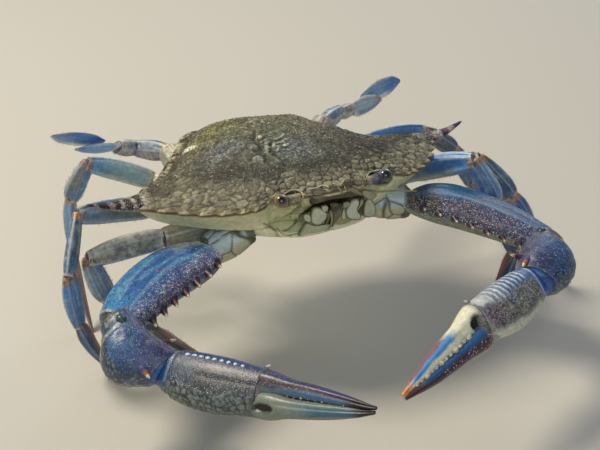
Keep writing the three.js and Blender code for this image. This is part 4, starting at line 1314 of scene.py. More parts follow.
def mouthpartBase(side):
    start, end = (np.array(mouthpart[key]) * [side, 1, 1] for key in ("from", "to"))
    along = unit(end - start)
    across = unit(np.array([1.0, 0, 0]) - along * along[0])
    polar = np.linspace(mouthpart["end"], math.pi - mouthpart["end"], 30)[:, None]
    t = 0.5 - 0.5 * np.cos(polar)
    angle = roundTurns(48)
    wide = through(mouthpart["breadth"], t) * np.sin(polar) ** 0.3
    deep = through(mouthpart["depth"], t) * np.sin(polar) ** 0.5
    spots = mix(start, end, t[..., None])
    for way, half, share in ((across, wide, np.cos(angle)), (np.cross(along, across), deep, np.sin(angle))):
        spots = spots + way * (half * rounded(share, mouthpart["roundness"]))[..., None]
    shape = skinOf(spots, "#8f9370")
    places = toPixel(shape["spots"])
    # the mouth's own pale olive, painted lighter to offset the shade under the shell's front: partly
    # painted light
    lay(shape, "#a39f72", softWithin(places, face["mouth"], 1.0) * 0.9)
    # painted shade where the gap under the shell's front lies
    lay(shape, "#4a3d26", softWithin(places, face["shadedCavity"], 1.0) * 0.95)
    return shape


shellSkin = paintCarapace(carapaceSkin())
shellSkin["under"] = step(1.004, 1.012, shellSkin["out"])
markFace(shellSkin)
print("carapace shaped")


# The long spine on each side of the carapace, banded dark and pale.
sideSpine = {
    "root": [53, -3.6, -3.4], "tip": [74.5, -1.5, -0.8], "breadth": [[0, 5], [0.35, 3], [1, 0.45]],
    "flatness": 0.62, "sag": 1.1, "droop": 1.5,
    "bands": {   # dark stretches, as middle and half length along it
        "R": [[0.2, 0.05], [0.36, 0.05], [0.52, 0.06], [0.74, 0.09], [0.93, 0.06]],
        "L": [[0.24, 0.13], [0.6, 0.065], [0.92, 0.13]],
    },
}


def sideSpineShape(sideName):
    side = sides[sideName]
    drop = sideSpine["droop"] if side > 0 else 0
    root = np.array(sideSpine["root"]) * [side, 1, 1] - [0, 0, drop]
    tip = np.array(sideSpine["tip"]) * [side, 1, 1] - [0, 0, drop / 2]
    t = np.linspace(0, 1, 70)[:, None]
    angle = roundTurns(36)
    wide = through(sideSpine["breadth"], t)
    wide = wide * np.where(t > 0.96, np.sqrt(np.clip((1.001 - t) / 0.04, 0, 1)) * 0.8 + 0.2, 1)
    high = wide * sideSpine["flatness"] * np.sin(angle) - sideSpine["sag"] * np.sin(math.pi * t)
    spot = mix(root, tip, t[..., None]) + np.stack([0 * high, wide * np.cos(angle), high], -1)
    shape = skinOf(spot, "#d8cbc0", 0.42)
    shape["t"] = spread(shape, t)
    lay(shape, "#8a5a6a", step(0.5, 0.7, cloud(shape["spots"], 1.2, 5)) * 0.5)
    wave = shape["t"] + 0.05 * (grain(shape["spots"], 1.8, 3) - 0.5)
    for middle, width in sideSpine["bands"][sideName]:
        lay(shape, "#1d1322", bell(wave, middle, width * 1.1) * 1.5)
    lay(shape, "#8a5a6a", bell(wave, 0.62, 0.03) * 0.6)
    lay(shape, "#7a745c", step(0.2, 0.0, shape["t"]))
    if side > 0:
        lay(shape, "#4b3a63", step(0.2, 0.35, shape["t"]) * 0.15)
    lay(shape, "#c8c4a8", step(0.0, -0.5, shape["normal"][:, 2]) * 0.5)
    shape["grit"] = step(0.62, 0.4, shape["t"])
    shape["gritPaint"] = mix(shape["paint"], toLinear("#d8cdb4"), 0.5)
    return shape


# Granules: low round grains that stand on a skin where its grit is high, sized and coloured by it.
granules = {
    "shell": {"spacing": 0.62, "smallest": 0.14, "largest": 0.36, "seed": 3, "thickness": 0.6},
    "claw": {"spacing": 0.52, "smallest": 0.07, "largest": 0.29, "seed": 8, "thickness": 0.6},
    "leg": {"spacing": 0.95, "smallest": 0.1, "largest": 0.24, "seed": 12, "thickness": 0.6},
}
bristles = {   # thickness in metres here, as it is a bristle's own radius
    "spacing": 0.26, "smallest": 0.5, "largest": 1.1, "thickness": 0.00005, "seed": 5,
    "colour": "#85684a",
}
densest = 4e6   # points on a square metre, more than the spacing lets stand


def openSockets(sockets, names):
    return [socket for socket in sockets if socket.enabled and socket.name in names]


def scatterTree(name, densityLayer, bristle=False):
    # Round grains, or tapering bristles, on a skin: inputs are sizes, seed and finish.
    tree = bpy.data.node_groups.new(name, "GeometryNodeTree")
    for title, kind in (("Skin", "Geometry"), ("Spacing", "Float"), ("Smallest", "Float"),
                        ("Largest", "Float"), ("Thickness", "Float"), ("Seed", "Int"),
                        ("Finish", "Material")):
        tree.interface.new_socket(title, in_out="INPUT", socket_type="NodeSocket" + kind)
    tree.interface.new_socket("Scattered", in_out="OUTPUT", socket_type="NodeSocketGeometry")
    entry = addNode(tree, "NodeGroupInput").outputs
    density = addNode(tree, "GeometryNodeInputNamedAttribute", {"data_type": "FLOAT", "Name": densityLayer})
    spots = addNode(tree, "GeometryNodeDistributePointsOnFaces", {
        "distribute_method": "POISSON", "Density Max": densest,
    }, {"Mesh": entry["Skin"], "Distance Min": entry["Spacing"], "Seed": entry["Seed"],
        "Density Factor": density.outputs["Attribute"]})
    size = addNode(tree, "FunctionNodeRandomValue", {"data_type": "FLOAT"}, {"Seed": entry["Seed"]})
    for title, socket in zip(("Smallest", "Largest"), openSockets(size.inputs, ("Min", "Max"))):
        tree.links.new(entry[title], socket)
    picked = openSockets(size.outputs, ("Value",))[0]
    if bristle:
        single = addNode(tree, "GeometryNodeMeshCone", {
            "Vertices": 4, "Radius Top": 0.15, "Radius Bottom": 1.0, "Depth": 1.0})
        lengths = {"X": entry["Thickness"], "Y": entry["Thickness"], "Z": picked}
    else:
        single = addNode(tree, "GeometryNodeMeshIcoSphere", {"Radius": 1.0, "Subdivisions": 1})
        high = addNode(tree, "ShaderNodeMath", {"operation": "MULTIPLY"},
                       {0: picked, 1: entry["Thickness"]})
        lengths = {"X": picked, "Y": picked, "Z": high.outputs[0]}
    scale = addNode(tree, "ShaderNodeCombineXYZ", None, lengths)
    smooth = addNode(tree, "GeometryNodeSetShadeSmooth", None, {"Geometry": single.outputs["Mesh"]})
    placed = addNode(tree, "GeometryNodeInstanceOnPoints", None, {
        "Points": spots.outputs["Points"], "Instance": smooth.outputs["Geometry"],
        "Rotation": spots.outputs["Rotation"], "Scale": scale.outputs["Vector"],
    })
    if bristle:
        tilt = addNode(tree, "FunctionNodeRandomValue", {"data_type": "FLOAT_VECTOR"})
        least, most = openSockets(tilt.inputs, ("Min", "Max"))
        least.default_value, most.default_value = (-0.3, -0.3, 0), (0.3, 0.3, 0)
        placed = addNode(tree, "GeometryNodeRotateInstances", None, {
            "Instances": placed.outputs["Instances"],
            "Rotation": openSockets(tilt.outputs, ("Value",))[0],
        })
    real = addNode(tree, "GeometryNodeRealizeInstances", None,
                   {"Geometry": placed.outputs["Instances"]})
    done = addNode(tree, "GeometryNodeSetMaterial", None,
                   {"Geometry": real.outputs["Geometry"], "Material": entry["Finish"]})
    addNode(tree, "NodeGroupOutput", None, {"Scattered": done.outputs["Geometry"]})
    return tree


granulesOnSkin = scatterTree("granulesOnSkin", "grit")
bristlesOnSkin = scatterTree("bristlesOnSkin", "fringe", bristle=True)


def addScattered(name, shapes, sizes, finish, tree=granulesOnSkin):
    layer = "grit" if tree == granulesOnSkin else "fringe"
    carried = join([shape for shape in shapes if layer in shape])
    colour = carried.pop("gritPaint", 0)
    if "colour" in sizes:
        colour = np.tile(toLinear(sizes["colour"]), (len(carried["spots"]), 1))
    carried["paint"] = colour
    bed = bpy.data.objects.new(name + "Bed", makeMesh(name + "Bed", carried, materials[finish]))
    bpy.context.scene.collection.objects.link(bed)
    modifier = bed.modifiers.new("scatter", "NODES")
    modifier.node_group = tree
    values = {
        "Spacing": sizes["spacing"] / 1000, "Smallest": sizes["smallest"] / 1000,
        "Largest": sizes["largest"] / 1000, "Thickness": sizes["thickness"],
        "Seed": sizes["seed"], "Finish": materials[finish],
    }
    for item in tree.interface.items_tree:
        if item.item_type == "SOCKET" and item.name in values:
            modifier[item.identifier] = values[item.name]
    evaluated = bed.evaluated_get(bpy.context.evaluated_depsgraph_get())
    mesh = bpy.data.meshes.new_from_object(evaluated)
    mesh.name = name
    bpy.data.objects.remove(bed)
    placePiece(name, mesh)
    print(name, len(mesh.polygons), "faces")


shellShapes = [shellSkin, sideSpineShape("R"), sideSpineShape("L")]
addPiece("carapaceShell", join(shellShapes), "calcifiedCarapaceShell", "carapace")
addScattered("carapaceGranules", shellShapes, granules["shell"], "calcifiedCarapaceShell")
print("carapace dressed")


# What stands on the face: eyes, feelers, mouthparts, and the ridges of the front and the orbits.
sight = BVHTree.FromPolygons(
    shellSkin["spots"].tolist(), shellSkin["quads"].tolist() + shellSkin["tris"].tolist())


def onShell(pixel, lift=0.0):
    hit, normal, _, _ = sight.ray_cast(cameraSpot.tolist(), sightLine(pixel).tolist())
    if hit is None:
        return onPlane(pixel, face["plane"]["spot"], face["plane"]["normal"])
    return np.array(hit) + np.array(normal) * lift


ridgeShapes = []
for line, radius, colour in face["ridges"].values():
    count = max(int(len(line) * 6), 14)
    spots = smoothLine([onShell(pixel) for pixel in smoothLine(line, count)], count)
    taper = 0.4 + 0.6 * np.sin(np.linspace(0.15, math.pi - 0.15, count)) ** 0.5
    ridge = tube(spots - cameraAhead * 0.35, radius * taper, colour, 10)
    lay(ridge, "#6b6148", step(0.5, 0.65, cloud(ridge["spots"], 0.9, 8)) * 0.5)
    ridgeShapes.append(ridge)
addPiece("frontAndOrbitRidges", join(ridgeShapes), "hornyMouthpartChitin")
for sideName, side in sides.items():
    word = sideWords[sideName]
    stalk, cornea = eyeShapes(sideName)
    addPiece(word + "Eyestalk", stalk, "hornyMouthpartChitin", f"eye_{sideName}")
    addPiece(word + "Cornea", cornea, "clearCorneaOverPigment", f"eye_{sideName}")
    addPiece(word + "Feeler", feelerShape(side), "hornyMouthpartChitin", f"antenna_{sideName}")
    addPiece(word + "MouthpartBase", mouthpartBase(side), "waxyBellyChitin",
             f"maxilliped_{sideName}")
addPiece("mouthPlates", join([plateShape(*plate) for plate in face["plates"].values()]),
         "waxyBellyChitin")
print("face set")


# The underside: the breast plate with its grooves, and the abdomen folded flat against it.
thorax = {
    # tint lightens the breast plate's paint: painted light for its downward faces, which lie in shade
    "ends": [-31, 31], "top": -11.32, "tint": [1.3, 1.34, 1.28],
    "bend": 0.0009,            # share of the length by which the grooves shift for each mm aside
    "width": [[0, 15], [0.2, 25], [0.45, 31], [0.72, 31], [0.9, 26], [1, 18]],
    "depth": [[0, 3], [0.12, 6], [0.3, 9.5], [0.6, 12], [0.85, 11], [1, 6]],
    "grooves": [0.3, 0.44, 0.58, 0.71, 0.84],
    "flapEnds": [27, -12], "flapThick": 1.5,
    "flapWidth": [[0, 11], [0.25, 11.5], [0.4, 7], [0.8, 3.8], [1, 1.6]],
    "flapGrooves": [0.1, 0.2, 0.3, 0.56, 0.8],
}


def grooved(shape, places, width, depth, colour):
    # Cross grooves of a belly plate, at places along it.
    relief = 0
    for place in places:
        groove = bell(shape["along"], place, width)
        relief = relief - depth * groove
        lay(shape, colour, groove * 0.8)
    return relief


def thoraxSkin():
    front, rear = thorax["ends"]
    t = np.linspace(0, 1, 120)[:, None]
    angle = roundTurns(120)
    x = through(thorax["width"], t) * rounded(np.cos(angle), 3)
    sunk = np.minimum(np.sin(angle), 0)
    z = (thorax["top"] - through(thorax["depth"], t) * np.abs(rounded(sunk, 2.6))
         - 0.02 * (1 - np.maximum(np.sin(angle), 0)))
    shape = skinOf(np.stack([x, front + (rear - front) * t + 0 * angle, z], -1), "#e0dcba")
    shape["along"] = spread(shape, t) - thorax["bend"] * np.abs(shape["spots"][:, 0])
    lay(shape, "#c4c39f", step(0.4, 0.7, cloud(shape["spots"], 6, 2)) * 0.6)
    relief = grooved(shape, thorax["grooves"], 0.012, 0.7, "#767a5c")
    middle = bell(shape["spots"][:, 0], 0, 0.5)
    lay(shape, "#767a5c", middle * 0.5)
    # painted light: the tint lightens the paint of a plate that faces down into shade
    shape["paint"] = np.minimum(shape["paint"] * thorax["tint"], 0.95)
    return markFace(shiftOut(shape, relief - 0.3 * middle))


def abdomenSkin():
    front, rear = thorax["ends"]
    root, tip = thorax["flapEnds"]
    shaft = np.linspace(0, 1, 90)
    t = np.concatenate([[0, 0], shaft, [1, 1]])[:, None]
    reach = np.concatenate([[0.45, 0.8], 1 + 0 * shaft, [0.8, 0.45]])[:, None]
    out = np.concatenate([[0.95, 0.6], 0 * shaft, [-0.6, -0.95]])[:, None]
    angle = roundTurns(48)
    y = root + (tip - root) * t + out
    x = reach * through(thorax["flapWidth"], t) * rounded(np.cos(angle), 2.3)
    z = (thorax["top"] - through(thorax["depth"], (y - front) / (rear - front))
         + reach * thorax["flapThick"] * rounded(np.sin(angle), 2.3))
    shape = skinOf(np.stack([x, y + 0 * angle, z], -1), "#dcd9bd")
    shape["along"] = spread(shape, t)
    lay(shape, "#c0be9d", step(0.4, 0.7, cloud(shape["spots"], 4, 8)) * 0.6)
    return shiftOut(shape, grooved(shape, thorax["flapGrooves"], 0.012, 0.35, "#7b7d5e"))


addPiece("breastPlate", thoraxSkin(), "waxyBellyChitin", "thorax")
addPiece("foldedAbdomen", abdomenSkin(), "waxyBellyChitin", "abdomen")
print("underside shaped")


# Limbs. A painter works on one skin, by place along the segment (t) and turn round it.

def wrapBell(turn, middle, width):
    away = np.abs((turn - middle + 180) % 360 - 180)
    return np.exp(-(away / width) ** 2)


def fresh(shape, hexColour, gloss, cells=1.0):
    # A new ground, and what the fields of colour are placed by: t, turn, and both made uneven.
    colourAll(shape, hexColour, gloss)
    shape["cells"] = shape["cells"] * cells
    shape["grit"] = np.zeros(len(shape["spots"]))
    wave = shape["turn"] + 34 * (cloud(shape["spots"], 5, 71) - 0.5)
    run = shape["t"] + 0.12 * (cloud(shape["spots"], 6, 73) - 0.5)
    shape.update({"wave": wave, "run": run})
    return shape["t"], shape["turn"], wave, run


def fieldOf(shape, limits):
    # Where a colour lies, as shares that multiply. Three numbers are a stretch and how soft its
    # ends are. Two are a rise or a fall along t or run, or else a middle and a half width: round
    # the limb for turn and wave, along t for "at". A cloud has its size, its seed and two levels.
    share = 1.0
    for key, numbers in limits.items():
        if key == "cloud":
            size, seed, low, high = numbers
            share = share * step(low, high, cloud(shape["spots"], size, seed))
        elif key == "at":
            share = share * bell(shape["t"], *numbers)
        elif len(numbers) == 3:
            share = share * stretch(shape[key], *numbers)
        elif key in ("turn", "wave"):
            share = share * wrapBell(shape[key], *numbers)
        else:
            share = share * step(*numbers, shape[key])
    return share


def layAll(shape, rows):
    for colour, strength, limits in rows:
        lay(shape, colour, fieldOf(shape, limits) * strength)


def gritOf(shape, mask, hexColour, share=0.7):
    # The mask says how densely granules stand there; their colour is laid over the skin's own.
    mask = np.clip(mask, 0, 1) * (0.45 + 0.75 * step(0.3, 0.6, cloud(shape["spots"], 3, 51)))
    if "gritPaint" not in shape:
        shape["gritPaint"] = shape["paint"].copy()
    shape["grit"] = np.maximum(shape["grit"], mask)
    varied = np.clip(0.35 + 0.8 * flecks(shape["spots"], 0.9, 21), 0, 1)
    cover = (step(0.05, 0.3, mask) * share * varied)[:, None]
    shape["gritPaint"] = mix(shape["gritPaint"], toLinear(hexColour), cover)


def raisedEdge(shape, place, colour, width=6.0, height=0.25, strength=0.8, low=0.04, high=0.97):
    along = stretch(shape["t"], low, high, 0.03) * (shape["reach"] > 0.99)
    edge = wrapBell(shape["turn"], place, width) * along
    lay(shape, colour, edge * strength)
    return edge * height


def jointEnds(shape, colours, near=0.07, far=0.95):
    # The knuckle at the near end, and the lip at the far one.
    knuckle = 1 - step(near * 0.5, near, shape["t"])
    blot = cloud(shape["spots"], 1.7, 77)
    lay(shape, colours[0], knuckle * 0.8)
    lay(shape, colours[1], knuckle * step(0.5, 0.6, blot) * 0.8)
    lay(shape, colours[2], step(far, far + 0.03, shape["t"]) * step(0.42, 0.55, blot) * 0.75)
    lip = step(far + 0.02, 1.0, shape["t"]) * (shape["reach"] > 0.9)
    lay(shape, colours[3], lip * 0.75)
    lay(shape, "#2a2620", (shape["reach"] < 0.86) * (shape["t"] > 0.5) * 0.85)


claws = {
    "blue": "#2860a8", "light": "#5c96cd", "cyan": "#1f7fbe", "deep": "#1a4a90", "violet": "#6f6790",
    "plum": "#45324a", "under": "#c3c8b4", "ivory": "#ddd6bd", 
    "stone": "#6f7276", 
    # the opening at the finger roots is painted near black: painted shade in the hole
    "shadedGaps": {   # the dark opening at the root of the fingers: t, turn, and half sizes
        "fixedR": [0.2, 118, 0.085, 24], "movingL": [0.075, 107, 0.072, 36],
    },
    "tones": {
        "armR": [1.05, 1.2, 1.06], "armL": [0.6, 0.6, 0.52], "wrist": [0.8, 0.85, 0.68],
        "wristGrit": [0.72, 0.76, 0.8], "palmR": [0.34, 0.37, 0.36], "palmL": 0.85, "palmGrit": 0.8,
        "movingR": [0.17, 0.22, 0.32], "fixedR": [0.27, 0.31, 0.29], "movingL": [1.25, 1.2, 1.05],
        "fixedL": [0.5, 0.42, 0.42],
    },
}


def paintClawRoot(shape, _):
    turn = fresh(shape, "#b4c4c2", 0.34, 0.15)[1]
    layAll(shape, [
        ["#d2d8cb", 0.7, {"cloud": [5, 3, 0.4, 0.65]}],
        ["#6f93a6", 0.5, {"cloud": [4, 9, 0.6, 0.75]}],
    ])
    low = stretch(turn, -150, -42, 6)
    lay(shape, "#b9b795", low)
    creaseNet = pebbles(shape["spots"] * [1, 1.3, 0.7], 7.5, 35)[0]
    crease = 1 - step(0.02, 0.07, creaseNet)
    lay(shape, "#3d3620", crease * 0.85)
    layAll(shape, [
        ["#4a4a2c", 0.85, {"run": [0.16, 0.05]}],
        ["#c4c9b4", 0.8, {"turn": [100, 220, 10]}],
        ["#2f3a44", 0.6, {"t": [0.93, 0.98]}],
    ])
    return -0.5 * crease - 0.3 * low


def paintArm(shape, segment):
    left = segment["side"] > 0
    t, turn, wave, run = fresh(shape, claws["blue"], 0.36)
    upper = stretch(turn, -14, 172, 8)
    layAll(shape, [
        [claws["light"], 0.55, {"wave": [138, 26], "run": [0.18, 0.95, 0.08]}],
        [claws["cyan"], 0.8, {"wave": [112, 34], "run": [0.62, 0.9]}],
        [claws["deep"], 0.8, {"turn": [92, 5], "t": [0.25, 0.85, 0.08]}],
        [claws["deep"], 0.5, {"wave": [62, 16], "run": [0.4, 0.9, 0.08]}],
    ])
    lay(shape, claws["violet"], stretch(wave, -25, 52 if left else 44, 16)
        * (1 - 0.45 * step(0.6, 0.9, run)) * 0.85)
    lay(shape, claws["plum"], wrapBell(wave, -2, 18) * 0.5)
    if left:
        layAll(shape, [
            [claws["cyan"], 0.9, {"turn": [62, 150, 14], "run": [0.1, 0.46, 0.05]}],
            ["#3f3a3c", 0.85, {"wave": [-20, 52, 12], "run": [0.34, 0.24]}],
            ["#8b9796", 0.8, {"run": [0.12, 0.02]}],
        ])
    else:
        layAll(shape, [
            ["#ccd3ee", 0.7, {"wave": [10, 100, 14], "run": [0.16, 0.02]}],
            ["#d8dbec", 0.8, {"wave": [92, 205, 18], "run": [0.36, 0.1]}],
            ["#eeeee4", 0.9, {"wave": [10, 170, 14], "run": [0.1, 0.02]}],
        ])
    below = 1 - stretch(turn, -9 if left else -24, 184, 8)
    lay(shape, claws["under"], below)
    lay(shape, "#a8ad93", below * step(0.5, 0.7, cloud(shape["spots"], 4, 6)) * 0.5)
    granular = upper * (1 - stretch(turn, 60, 175, 6) * (1 - step(0.3, 0.5, run)) * left)
    gritOf(shape, granular * 0.75, claws["light"], 0.75)
    dusted = stretch(wave, -20, 58, 12) * upper
    net, which, _ = pebbles(shape["spots"], 1.3, 13)
    lay(shape, "#c9c2c9", dusted * step(0.25, 0.6, net) * (0.45 + 0.35 * which))
    lay(shape, "#2a2136", dusted * (1 - step(0.02, 0.14, net)) * 0.5)
    streak = grain(np.stack([shape["turn"] / 7, t * 5, 0 * t], -1), 1.0, 19)
    lay(shape, "#9ec3dc", step(0.62, 0.78, streak) * stretch(wave, 40, 172, 12) * 0.3)
    gritOf(shape, granular * stretch(wave, -18, 56, 12) * 0.95, "#e0dcdc", 0.9)
    tan = step(0.8, 0.82, flecks(shape["spots"], 1.7, 3)) * stretch(wave, 20, 110, 20)
    gritOf(shape, granular * tan * 0.8, "#d09a63", 0.9)
    gritOf(shape, stretch(wave, 10, 190, 14) * (1 - step(0.08, 0.32, run)) * (not left), "#eef0ee", 0.9)
    relief = raisedEdge(shape, 178, claws["ivory"], 5.0, 0.35, 0.85, 0.02, 0.99)
    relief = relief - 0.3 * wrapBell(turn, 92, 5) * stretch(t, 0.2, 0.9, 0.05)
    relief = relief + 0.25 * wrapBell(turn, 66, 9) * stretch(t, 0.3, 0.9, 0.08)
    jointEnds(shape, ["#b9c4bf", "#d9cfb4", "#3a4f6e", "#cdb5a2"], 0.04, 0.955)
    shape["paint"] = shape["paint"] * claws["tones"]["arm" + segment["sideName"]]
    if not left:
        # the right arm's root lies in the shell's shade: lightening its paint and granules there is painted
        # light
        pale = (1 - step(0.06, 0.34, run)) * stretch(wave, 10, 205, 16)
        for layer in ("paint", "gritPaint"):
            shape[layer] = np.minimum(shape[layer] * (1 + 1.1 * pale[:, None]), 0.92)
    return relief


def paintWrist(shape, segment):
    left = segment["side"] > 0
    t, turn, wave, _ = fresh(shape, "#3b5a9c", 0.38)
    layAll(shape, [
        ["#2f6db0", 0.7, {"run": [0.12, 0.5, 0.1], "wave": [30, 130, 20]}],
        [claws["violet"], 0.85, {"wave": [-30, 46, 18]}],
        ["#544a86", 0.6, {"wave": [40, 90, 16], "run": [0.5, 0.8]}],
    ])
    scaly = 1 - stretch(wave, -70, 128, 14)
    net = pebbles(shape["spots"], 1.5, 9)[0]
    lay(shape, "#39507c", scaly * 0.8)
    lay(shape, "#a9b0b8", scaly * step(0.15, 0.45, net) * 0.55)
    lay(shape, claws["under"], (1 - stretch(turn, -95, 215, 20)) * 0.7)
    lay(shape, "#262b3d", scaly * (1 - step(0.04, 0.2, net)) * 0.7)
    if left:
        lay(shape, "#b07a4e", wrapBell(turn, 68, 14) * bell(t, 0.17, 0.06) * 0.9)
    layAll(shape, [
        [claws["ivory"], 0.8, {"turn": [170, 12], "t": [0.35, 0.2]}],
        ["#d6c8ae", 0.8, {"at": [0.13, 0.02], "turn": [60, 170, 8]}],
    ])
    rough = cloud(shape["spots"], 2.2, 91)
    lay(shape, "#262a52", step(0.48, 0.3, rough) * (1 - scaly) * 0.6)
    relief = 0.5 * (rough - 0.5) + 0.3 * scaly * step(0.05, 0.3, net)
    relief = relief - 0.25 * bell(t, 0.16, 0.02) * stretch(turn, 60, 170, 8)
    granular = stretch(turn, -35, 140, 8) * step(0.1, 0.2, t) * 0.9
    gritOf(shape, granular, "#93a3d0", 0.8)
    gritOf(shape, granular * step(0.6, 0.62, flecks(shape["spots"], 1.3, 3)), "#c3c6d4", 0.8)
    jointEnds(shape, ["#2c5280", "#a9a68f", "#3c3c6a", "#6f7690"], 0.05, 0.95)
    shape["paint"] = shape["paint"] * claws["tones"]["wrist"]
    shape["gritPaint"] = shape["gritPaint"] * claws["tones"]["wristGrit"]
    return relief


def paintPalm(shape, segment):
    left = segment["side"] > 0
    t, turn, wave, run = fresh(shape, claws["stone"], 0.42, 0.5)
    fine = cloud(shape["spots"], 1.6, 15)
    net, which, _ = pebbles(shape["spots"], 1.8, 21)
    pale = step(0.5, 0.6, flecks(shape["spots"], 0.6, 31))
    relief = 0
    if left:
        lay(shape, "#5e5f66", step(0.4, 0.6, fine) * 0.6)
        layAll(shape, [
            ["#3273b4", 0.9, {"wave": [-40, 76, 12], "run": [0.8, 0.55]}],
            ["#8ea3b4", 0.9, {"wave": [-30, 70, 12], "run": [0.5, 0.75]}],
        ])
        bars = 0.5 + 0.5 * np.cos(t * 2 * math.pi * 15 + turn * 0.06)
        barred = stretch(wave, 8, 70, 7) * stretch(t, 0.26, 0.84, 0.04)
        lay(shape, "#e8ecec", barred * step(0.55, 0.8, bars) * 0.9)
        lay(shape, "#274a78", barred * step(0.45, 0.2, bars) * (1 - step(0.5, 0.7, run)) * 0.5)
        relief = relief + 0.35 * barred * bars
        layAll(shape, [
            ["#e0e2da", 0.8, {"wave": [-20, 62, 10], "run": [0.78, 0.9]}],
            [claws["plum"], 0.8, {"wave": [66, 122, 12], "run": [0.76, 0.9]}],
            ["#7b4f7c", 0.5, {"wave": [70, 110, 10], "run": [0.84, 0.94]}],
        ])
        lay(shape, "#d2d3c2", 1 - stretch(wave, -60, 128, 9))
        lay(shape, "#b9b7a8", pale * stretch(wave, 70, 128, 9) * 0.5)
        lay(shape, "#2c2d36", (1 - pale) * stretch(wave, 70, 128, 9) * 0.35)
        gritOf(shape, stretch(turn, 70, 128, 8) * 2.0, "#d2cfbd", 0.95)
        gritOf(shape, stretch(turn, 70, 118, 8) * step(0.78, 0.9, run), "#b48ab0", 0.8)
    else:
        lay(shape, "#5a5c62", step(0.4, 0.6, fine) * 0.6)
        layAll(shape, [
            ["#3463aa", 0.95, {"wave": [-50, 48, 10]}],
            ["#4f5f97", 0.7, {"wave": [40, 66, 10]}],
            ["#6d87b4", 0.75, {"wave": [40, 116, 12], "run": [0.5, 0.3]}],
        ])
        lay(shape, "#59608c", stretch(wave, 40, 116, 12) * step(0.52, 0.66, fine) * 0.5)
        low = 1 - stretch(wave, -70, 112, 7)
        lay(shape, "#a9b1b0", low)
        lay(shape, "#c6cbc5", low * step(0.2, 0.4, net) * (0.7 + 0.3 * which))
        lay(shape, "#10161f", low * (1 - step(0.04, 0.15, net)))
        relief = relief + 0.3 * low * step(0.05, 0.35, net)
        lay(shape, "#4b4a80", stretch(wave, 70, 125, 10) * step(0.9, 0.96, run) * 0.8)
        line = wrapBell(turn, 88, 2.2) * step(0.4, 0.5, t)
        lay(shape, "#2d2f38", line * 0.7)
        relief = relief - 0.3 * line
        lay(shape, "#b9bdbe", pale * stretch(wave, 44, 116, 8) * 0.35)
        lay(shape, "#33363f", (1 - pale) * stretch(wave, 44, 116, 8) * 0.3)
        gritOf(shape, stretch(turn, 46, 114, 6) * 2.0, "#c9cdd0", 0.9)
        gritOf(shape, stretch(turn, -30, 46, 6) * 0.6, "#7f9ed6", 0.7)
    facet = 1 - step(0.1, 0.14, t - 0.05 * np.cos(np.radians(turn - 90)))
    lay(shape, "#1866b4", facet * stretch(turn, -60, 140, 20) * 0.95)
    lay(shape, "#dfe3df", bell(t, 0.135, 0.012) * stretch(turn, 0, 120, 12) * 0.8)
    relief = relief - 0.25 * bell(t, 0.15, 0.015)
    setGloss(shape, 0.22, facet)
    shape["grit"] = shape["grit"] * step(0.14, 0.2, t)
    lay(shape, "#d6d2b8", step(0.955, 0.97, t) * stretch(wave, 100, 200, 15) * 0.8)
    jointEnds(shape, ["#1c5ea6", "#2a6fb4", "#4a4a78", "#8d8f86"], 0.03, 0.96)
    shape["paint"] = shape["paint"] * claws["tones"]["palm" + segment["sideName"]]
    shape["gritPaint"] = shape["gritPaint"] * claws["tones"]["palmGrit"]
    return relief


